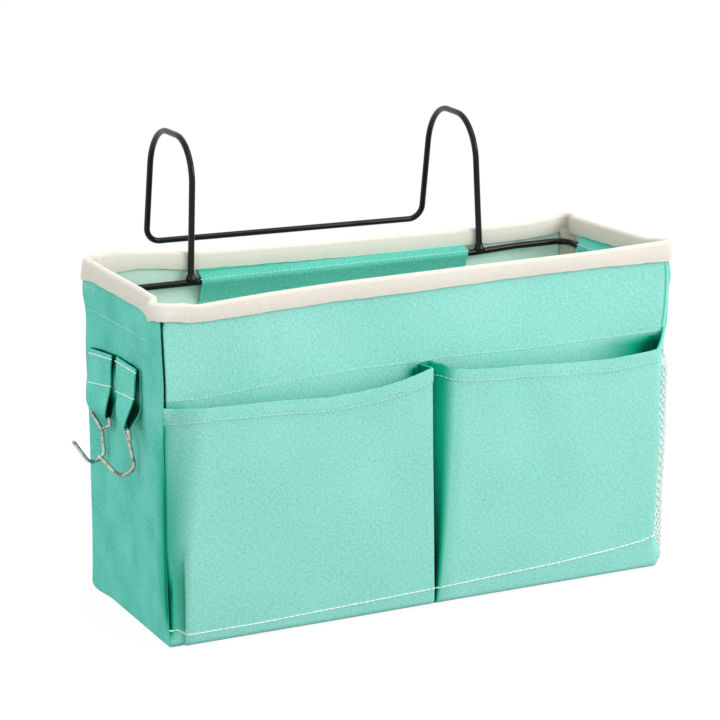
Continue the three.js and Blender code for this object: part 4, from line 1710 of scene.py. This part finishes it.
@dataclass
class WireFrame:
    """Black wire: the U in the box and the hanger welded on its back bar."""

    finishes: Finishes
    bend: float = 8.0
    arches: tuple[Arch, Arch] = (Arch(-97.4, -94.9, -93.8, 8.8), Arch(94.4, 90.2, 95.3, 6.6))
    reach: float = 65.9
    front_bend: float = 25.8
    rear_bend: float = 30.5
    rear_flare: float = 13.4
    foot_bend: float = 9.0
    paint_share: float = 0.94
    bead: float = 3.8
    bead_height: float = 4.2

    def build(self) -> None:
        """Builds and dresses both wires."""
        low, high = (np.array(c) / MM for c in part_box("support_frame"))
        radius = (high[2] - low[2]) / 2
        z, side, back = (low[2] + high[2]) / 2, high[0] - radius, high[1] - radius
        high_z = z + RIGHT_RISE
        spots = [
            ((-side, low[1], z), 0),
            ((-side, back, z), self.bend),
            ((self.arches[1].foot - 4, back, z), 80),
            ((self.arches[1].foot + 26, back, high_z), 80),
            ((side, back, high_z), self.bend),
            ((side, low[1], high_z), 0),
        ]
        line = bent_line([(np.array(spot), bend) for spot, bend in spots])
        self.wire("support_wire", line, np.full(len(line), radius), "support_frame")
        self.hanger(z, back, radius)

    def hanger(self, bar: float, back: float, radius: float) -> None:
        """Builds the hanger: two arches joined by a rear bar, with a weld bead at each foot.

        Args:
            bar: Height of the frame's back bar.
            back: Place of the back bar.
            radius: Radius of the wire.
        """
        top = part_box("wire_hanger")[1].z / MM - radius
        foot = bar + radius * 0.6
        crown, rear = back + self.reach, back + self.reach + self.rear_flare

        def half(arch: Arch) -> list[tuple[np.ndarray, float]]:
            """Corners of one arch, from its foot to the rear bar.

            Args:
                arch: The arch.

            Returns:
                Corner points, each with the radius of its bend.
            """
            return [
                (np.array([arch.foot, back, foot]), 0),
                (np.array([arch.foot, back, foot + 1.4]), 0),
                (np.array([arch.foot, back, foot + self.bead_height]), 0),
                (np.array([arch.top, back, top]), self.front_bend),
                (np.array([arch.rear, crown, top]), self.rear_bend),
                (np.array([arch.rear, rear, bar + arch.rise]), self.foot_bend),
            ]

        line = bent_line(half(self.arches[0]) + half(self.arches[1])[::-1], 0.07)
        rise = line[:, 2] - foot
        swell = (self.bead - radius) * bump(np.maximum(rise, 0), 0, 2.1)
        swell = swell * (line[:, 1] < back + radius)
        self.wire("hanger_wire", line, radius * self.paint_share + swell, "wire_hanger")

    def wire(self, name: str, line: np.ndarray, radii: np.ndarray, node: str) -> None:
        """Adds one painted wire."""
        place_piece(new_object(tube_mesh(name, line, radii, 20), self.finishes.paint), [node])


@dataclass
class WireSleeves:
    """Cloth tunnels sewn to the inside of the walls, over the frame wire."""

    box: ClothBox
    finishes: Finishes
    seams: Seams
    cloth: float = 0.9
    above: float = 4.4
    below: float = 12.5
    tuck: float = 4.0
    back_trim: float = 9.0
    end_trim: float = 2.0
    ease: float = 0.35

    def section(self, inset: float, bar: float, radius: float, top: float) -> np.ndarray:
        """Section of a sleeve from its top edge down.

        Args:
            inset: Depth of the wire inside the wall's outer face.
            bar: Height of the wire.
            radius: Radius of the wire.
            top: Height of the sleeve's top edge.

        Returns:
            Depth inside the wall's outer face, and height.
        """
        lean = self.box.cloth + 0.3
        reach = radius + self.ease

        def touch(z: float, sense: int) -> float:
            """Angle at which the cloth meets the wire, coming from a stitch at that height."""
            across, rise = lean - inset, z - bar
            return math.atan2(rise, across) - sense * math.acos(reach / math.hypot(across, rise))

        high, low = touch(bar + self.above, 1), touch(bar - self.below, -1)
        angles = np.linspace(high, low, 12)
        around = np.stack([inset + reach * np.cos(angles), bar + reach * np.sin(angles)], axis=1)
        foot = bar - self.below
        flat = []
        for start, stop, count in ((top, bar + self.above, 4), (foot, foot - self.tuck, 6)):
            flat.append(np.stack([np.full(count, lean), np.linspace(start, stop, count)], axis=1))
        return np.concatenate([flat[0], around, flat[1]])

    def build(self) -> None:
        """Builds and dresses the three sleeves."""
        low, high = (np.array(c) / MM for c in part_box("support_frame"))
        radius, bar = (high[2] - low[2]) / 2, (high[2] + low[2]) / 2
        inset = self.box.half_depth - (high[1] - radius)
        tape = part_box("rim_binding")[0].z / MM
        for wall in (Wall.BACK, Wall.LEFT, Wall.RIGHT):
            node = wall.name.lower() + "_wire_sleeve"
            corners = np.array([list(c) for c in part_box(node)]) / MM
            ends = sorted(float(c @ wall.along) for c in corners)
            drawn = self.back_trim if wall is Wall.RIGHT else 0.0
            rise = bar + (RIGHT_RISE if wall is Wall.RIGHT else 0.0)
            ends[0] += self.end_trim if wall is Wall.BACK else 0.0
            share = np.linspace(0, 1, max(30, int((ends[1] - ends[0]) / 2.5)))
            along = ends[0] + (ends[1] - ends[0]) * share
            line = self.section(inset, rise, radius, tape + 3)
            wave = 0.22 * np.sin(along / 6.1) + 0.16 * np.sin(along / 2.7 + 1)
            grids = []
            for extra in (self.cloth, 0.0):
                moved = line + section_normals(line) * extra
                slack = np.clip(moved[:, 0] - self.box.cloth - 0.6, 0, 4) / 4
                depth = moved[:, :1] + 0.5 * slack[:, None] * np.abs(wave)[None, :]
                run = along[None, :] - drawn * slack[:, None] * share[None, :]
                out = self.box.distance(wall) - depth
                places = run[..., None] * wall.along + out[..., None] * wall.out
                places[..., 2] = moved[:, 1:] + 0.3 * slack[:, None] * wave[None, :]
                grids.append(places)
            mesh = cloth_mesh(node + "_cloth", grids[0], grids[1])
            piece = place_piece(new_object(mesh, self.finishes.painted_shade_sleeve_linen), [node])
            sewn = grids[0] - wall.out * 0.1
            for z in (rise + 1.9, rise - self.below - 0.8):
                row = [at_height(strip, z, -1) for strip in sewn.transpose(1, 0, 2)]
                self.seams.add("sleeve_stitches", np.array(row))


@dataclass(frozen=True)
class HookPlace:
    """Where a hook hangs on the left wall.

    Attributes:
        name: Name of the hook.
        along: Place along the wall, to the front.
        bar: Height of the bar that the tab goes round.
        standoff: Distance of the bar from the wall.
        sway: Shift of the loop along the wall.
        turn: Turn of the hook about the upright, in degrees.
    """

    name: str
    along: float
    bar: float
    standoff: float
    sway: float
    turn: float


@dataclass
class HookTab:
    """Cloth tab in two layers on the left wall, open below to a loop round the hook's bar.

    Keys are places of the rear and front edges of the cloth, as distance to the back, stand-off and height,
    from the top of the layer on the wall, round the bar, to the top of the outer layer.
    """

    name: str
    keys: tuple
    width: float
    box: ClothBox
    finishes: Finishes
    seams: Seams
    cloth: float = 1.0
    length: float = 82.0
    steps: int = 7
    stitched: tuple[float, float] = (0.97, 0.79)

    def edges(self) -> Grid:
        """Smooth edge curves through the keys.

        Returns:
            Rows by two edges by three.
        """
        keys = np.array(self.keys, float)
        ends = np.concatenate([2 * keys[:1] - keys[1:2], keys, 2 * keys[-1:] - keys[-2:-1]])
        rows = []
        for i in range(len(keys) - 1):
            a, b, c, d = ends[i : i + 4]
            square, cube = 2 * a - 5 * b + 4 * c - d, 3 * b - a - 3 * c + d
            for t in np.arange(self.steps) / self.steps:
                rows.append(0.5 * (2 * b + (c - a) * t + square * t**2 + cube * t**3))
        return np.array(rows + [keys[-1]])

    def build(self) -> None:
        """Builds and dresses the tab, and adds its two sewn lines."""
        rows = self.edges()
        across = np.linspace(0, 1, 15)[None, :, None]
        middle = rows[:, :1] * (1 - across) + rows[:, 1:] * across
        loose = np.sin(np.linspace(0, 1, len(rows)) * math.pi)[:, None]
        middle[..., 1] += 0.25 * loose * np.sin(across[..., 0] * 9 + 1)
        flush = smooth(0.34, 0.2, np.linspace(0, 1, len(rows)))[:, None]
        middle[..., 1] += flush * self.box.relief(Wall.LEFT, -middle[..., 0], middle[..., 2])
        out = -self.box.half_width - middle[..., 1]
        places = np.stack([out, middle[..., 0], middle[..., 2]], axis=2)
        normal = grid_normals(places)
        outer, inner = places + normal * self.cloth / 2, places - normal * self.cloth / 2
        down = np.linspace(0, 1, len(rows))[:, None]
        open_face = np.zeros(outer.shape[:2])
        # Painted shade, nearly black, on the tab's inner face, apart from a narrow band of the layer on the
        # wall.
        painted_deep_shade = open_face + 0.95 - 0.95 * bump(down, 0.11, 0.04)
        node = self.name + "_hook_tab"
        mesh = cloth_mesh(node + "_cloth", outer, inner, folds=(open_face, painted_deep_shade))
        piece = place_piece(new_object(mesh, self.finishes.painted_shade_linen), [node])
        lifted = outer + normal * 0.1
        for share in self.stitched:
            self.seams.add("tab_stitches", lifted[int(share * (len(rows) - 1))], BOLD)


@dataclass
class SideHook:
    """Plated wire hook: a D-shaped eye, a shank and an open throat."""

    place: HookPlace
    box: ClothBox
    finishes: Finishes
    wire: float = 2.2
    bar_half: float = 13.5
    eye_half: float = 15.5
    shoulder: float = 4.0
    drop: float = 10.0
    shank: float = 13.5
    throat_drop: float = 6.5
    throat: float = 9.0
    tip_out: float = 18.0
    tip_up: float = 9.0
    bend: float = 5.0
    corner_bend: float = 2.0
    gap: float = 0.3

    def build(self) -> None:
        """Builds and dresses the hook on its own body."""
        radius = self.wire / 2
        room = self.place.standoff - radius - 2 * self.gap
        lean = math.asin(room / (self.drop + self.shank))
        turn = math.radians(self.place.turn)

        def spot(u: float, v: float, w: float) -> np.ndarray:
            """Point of the hook.

            Args:
                u: Place sideways.
                v: Place upward.
                w: Place outward.

            Returns:
                The point in space.
            """
            high = v * math.cos(lean) - w * math.sin(lean)
            away = v * math.sin(lean) + w * math.cos(lean)
            along = u * math.cos(turn) - away * math.sin(turn)
            out = u * math.sin(turn) + away * math.cos(turn)
            place = self.place.along + self.place.sway + along
            stand = self.place.standoff + out
            return np.array([-self.box.half_width - stand, -place, self.place.bar + high])

        foot = -self.drop - self.shank
        end_gap = self.wire + 2 * self.gap
        slope = (self.drop - self.shoulder) / self.eye_half
        corners = [
            (spot(end_gap, end_gap * slope - self.drop, 0), 0),
            (spot(self.eye_half, -self.shoulder, 0), self.corner_bend),
            (spot(self.bar_half, 0, 0), self.corner_bend),
            (spot(-self.bar_half, 0, 0), self.corner_bend),
            (spot(-self.eye_half, -self.shoulder, 0), self.corner_bend),
            (spot(0, -self.drop, 0), self.bend),
            (spot(0, foot - self.throat_drop / 2, 0), self.bend),
            (spot(0, foot - self.throat_drop, self.throat), self.bend),
            (spot(0, foot + self.tip_up, self.tip_out), 0),
        ]
        line = bent_line(corners, 0.15)
        name = self.place.name + "_hook"
        mesh = tube_mesh(name + "_wire", line, np.full(len(line), radius), 14)
        place_piece(new_object(mesh, self.finishes.nickel), [name], name + "_body")


@dataclass
class Studio:
    """Pale floor, soft lights and the camera at the photograph's view."""

    azimuth: float = -26.13
    elevation: float = 14.69
    distance: float = 1539.8
    target: tuple[float, float, float] = (-13.7, 0.0, 134.2)
    field_of_view: float = 15.58
    sensor: float = 36.0
    floor_half: float = 6.0
    floor_drop: float = 0.0006

    def camera(self) -> None:
        """Sets the camera."""
        data = bpy.data.cameras.new("camera")
        data.sensor_width = self.sensor
        data.lens = self.sensor / 2 / math.tan(math.radians(self.field_of_view) / 2)
        a, e = math.radians(self.azimuth), math.radians(self.elevation)
        back = Vector((math.sin(a) * math.cos(e), -math.cos(a) * math.cos(e), math.sin(e)))
        eye = bpy.data.objects.new("camera", data)
        eye.location = (Vector(self.target) + back * self.distance) * MM
        eye.rotation_euler = (-back).to_track_quat("-Z", "Y").to_euler()
        data.clip_start, data.clip_end = 0.05, 50
        bpy.context.scene.collection.objects.link(eye)
        bpy.context.scene.camera = eye

    @staticmethod
    def lamp(
        name: str, place: Sequence[float], aim: Sequence[float], size: float, power: float, colour: str
    ) -> None:
        """Adds one soft lamp.

        Args:
            name: Name of the lamp.
            place: Where it stands, in metres.
            aim: Spot that it points at.
            size: Width of its disc.
            power: Power in watts.
            colour: Colour of its light, as a hex value.
        """
        data = bpy.data.lights.new(name, "AREA")
        data.shape, data.size, data.energy = "DISK", size, power
        data.color = linear(colour)[:3]
        made = bpy.data.objects.new(name, data)
        made.location = place
        made.rotation_euler = (Vector(aim) - Vector(place)).to_track_quat("-Z", "Y").to_euler()
        bpy.context.scene.collection.objects.link(made)

    @staticmethod
    def seen_directly(tree: bpy.types.NodeTree) -> Socket:
        """Adds a test for rays that show the background: from the camera, off metal or through glass.

        Args:
            tree: Tree that gets the nodes.

        Returns:
            Socket that is 1 for such rays.
        """
        path = add_node(tree, "ShaderNodeLightPath")
        seen = path.outputs["Is Camera Ray"]
        for kind in ("Is Glossy Ray", "Is Transmission Ray"):
            either = {0: seen, 1: path.outputs[kind]}
            seen = add_node(tree, "ShaderNodeMath", either, operation="MAXIMUM").outputs[0]
        return seen

    def floor(self) -> None:
        """Adds the floor: white where it is looked at, with a faint shadow, and plain pale to the light."""
        far, z = self.floor_half, -self.floor_drop
        mesh = bpy.data.meshes.new("floor")
        corners = [(-far, -far, z), (far, -far, z), (far, far, z), (-far, far, z)]
        mesh.from_pydata(corners, [], [(0, 1, 2, 3)])
        made = Shading("pale studio floor, painted")
        feed(made.tree, made.shader, {"Base Color": linear("#a9a9a7"), "Roughness": 0.9})
        plain = made.shader.outputs[0]
        white = made.add("Emission", {"Color": (1, 1, 1, 1), "Strength": 1.09})
        faint = made.add("MixShader", {0: 0.87, 1: plain, 2: white.outputs[0]})
        shown = made.add("MixShader", {0: self.seen_directly(made.tree), 1: plain, 2: faint.outputs[0]})
        made.add("OutputMaterial", {"Surface": shown.outputs[0]}, is_active_output=True)
        mesh.materials.append(made.material)
        new_object(mesh)

    def sky(self) -> None:
        """Sets the world: soft even light, and white where it is looked at."""
        world = bpy.data.worlds.new("studio")
        world.use_nodes = True
        tree = world.node_tree
        tree.nodes.clear()
        soft = add_node(tree, "ShaderNodeBackground", {"Color": linear("#f6f7f6"), "Strength": 1.08})
        white = add_node(tree, "ShaderNodeBackground", {"Color": (1, 1, 1, 1), "Strength": 1.0})
        either = {0: self.seen_directly(tree), 1: soft.outputs[0], 2: white.outputs[0]}
        shown = add_node(tree, "ShaderNodeMixShader", either)
        add_node(tree, "ShaderNodeOutputWorld", {"Surface": shown.outputs[0]})
        bpy.context.scene.world = world

    def build(self) -> None:
        """Sets camera, floor, world and lamps."""
        bpy.context.scene.view_settings.view_transform = "Standard"
        self.camera()
        self.floor()
        self.sky()
        self.lamp("key", (0.95, -0.95, 0.8), (0.02, 0.0, 0.12), 0.7, 7.5, "#fffaf5")
        self.lamp("top", (0.45, -0.5, 1.5), (0.0, 0.0, 0.1), 1.0, 4.0, "#ffffff")
        self.lamp("left fill", (-1.4, 0.25, 0.5), (-0.15, 0.0, 0.12), 0.8, 1.1, "#fffdf8")


REAR = HookPlace("rear", along=-33.2, bar=113.0, standoff=3.4, sway=0.0, turn=0.0)
FRONT = HookPlace("front", along=5.4, bar=118.0, standoff=6.0, sway=8.0, turn=14.0)
REAR_TAB = (
    ((49.7, 0.8, 147.2), (11.5, 0.8, 151.2)),
    ((49.7, 0.8, 128.0), (11.5, 0.8, 133.0)),
    ((47.5, 0.9, 117.0), (18.5, 0.9, 118.5)),
    ((45.5, 1.45, 113.0), (20.5, 1.45, 113.0)),
    ((45.5, 3.4, 111.05), (20.5, 3.4, 111.05)),
    ((45.5, 5.35, 113.2), (20.5, 5.35, 113.2)),
    ((48.5, 5.7, 118.0), (16.8, 6.0, 120.0)),
    ((49.7, 4.7, 127.0), (16.6, 3.1, 132.0)),
    ((49.7, 3.6, 137.0), (16.4, 2.7, 142.0)),
    ((49.7, 2.1, 146.6), (15.6, 2.2, 150.4)),
)
FRONT_TAB = (
    ((8.0, 0.8, 151.6), (-21.0, 0.8, 150.4)),
    ((8.0, 0.8, 134.0), (-20.6, 0.8, 134.0)),
    ((3.0, 1.6, 124.5), (-20.6, 1.8, 125.5)),
    ((-11.5, 3.9, 118.2), (-21.5, 6.0, 118.2)),
    ((-12.0, 5.8, 116.05), (-21.5, 8.0, 116.05)),
    ((-11.5, 7.75, 118.4), (-21.5, 9.9, 118.4)),
    ((-4.0, 7.2, 123.0), (-20.8, 8.2, 123.0)),
    ((1.0, 4.6, 133.0), (-21.5, 4.0, 134.3)),
    ((3.4, 4.0, 143.0), (-22.0, 3.2, 144.0)),
    ((6.0, 2.6, 151.8), (-22.2, 2.3, 151.2)),
)


def main() -> None:
    """Builds the caddy piece by piece, then the studio round it."""
    logging.basicConfig(level=logging.INFO, format="%(name)s: %(message)s")
    finishes = Finishes()
    seams = Seams(finishes)
    Studio().build()
    box = ClothBox(finishes, seams)
    box.build()
    RimTape(box, finishes).build()
    CornerTapes(box, finishes).build()
    FrontPocket(box, finishes, seams).build()
    MeshPocket(box, finishes, seams).build()
    WireFrame(finishes).build()
    WireSleeves(box, finishes, seams).build()
    for place, keys, width in ((REAR, REAR_TAB, 33.0), (FRONT, FRONT_TAB, 29.5)):
        SideHook(place, box, finishes).build()
        HookTab(place.name, keys, width, box, finishes, seams).build()
    seams.build()
    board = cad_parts["bottom_board"]
    board.data.materials.clear()
    board.data.materials.append(finishes.board)


if __name__ == "__main__":
    main()
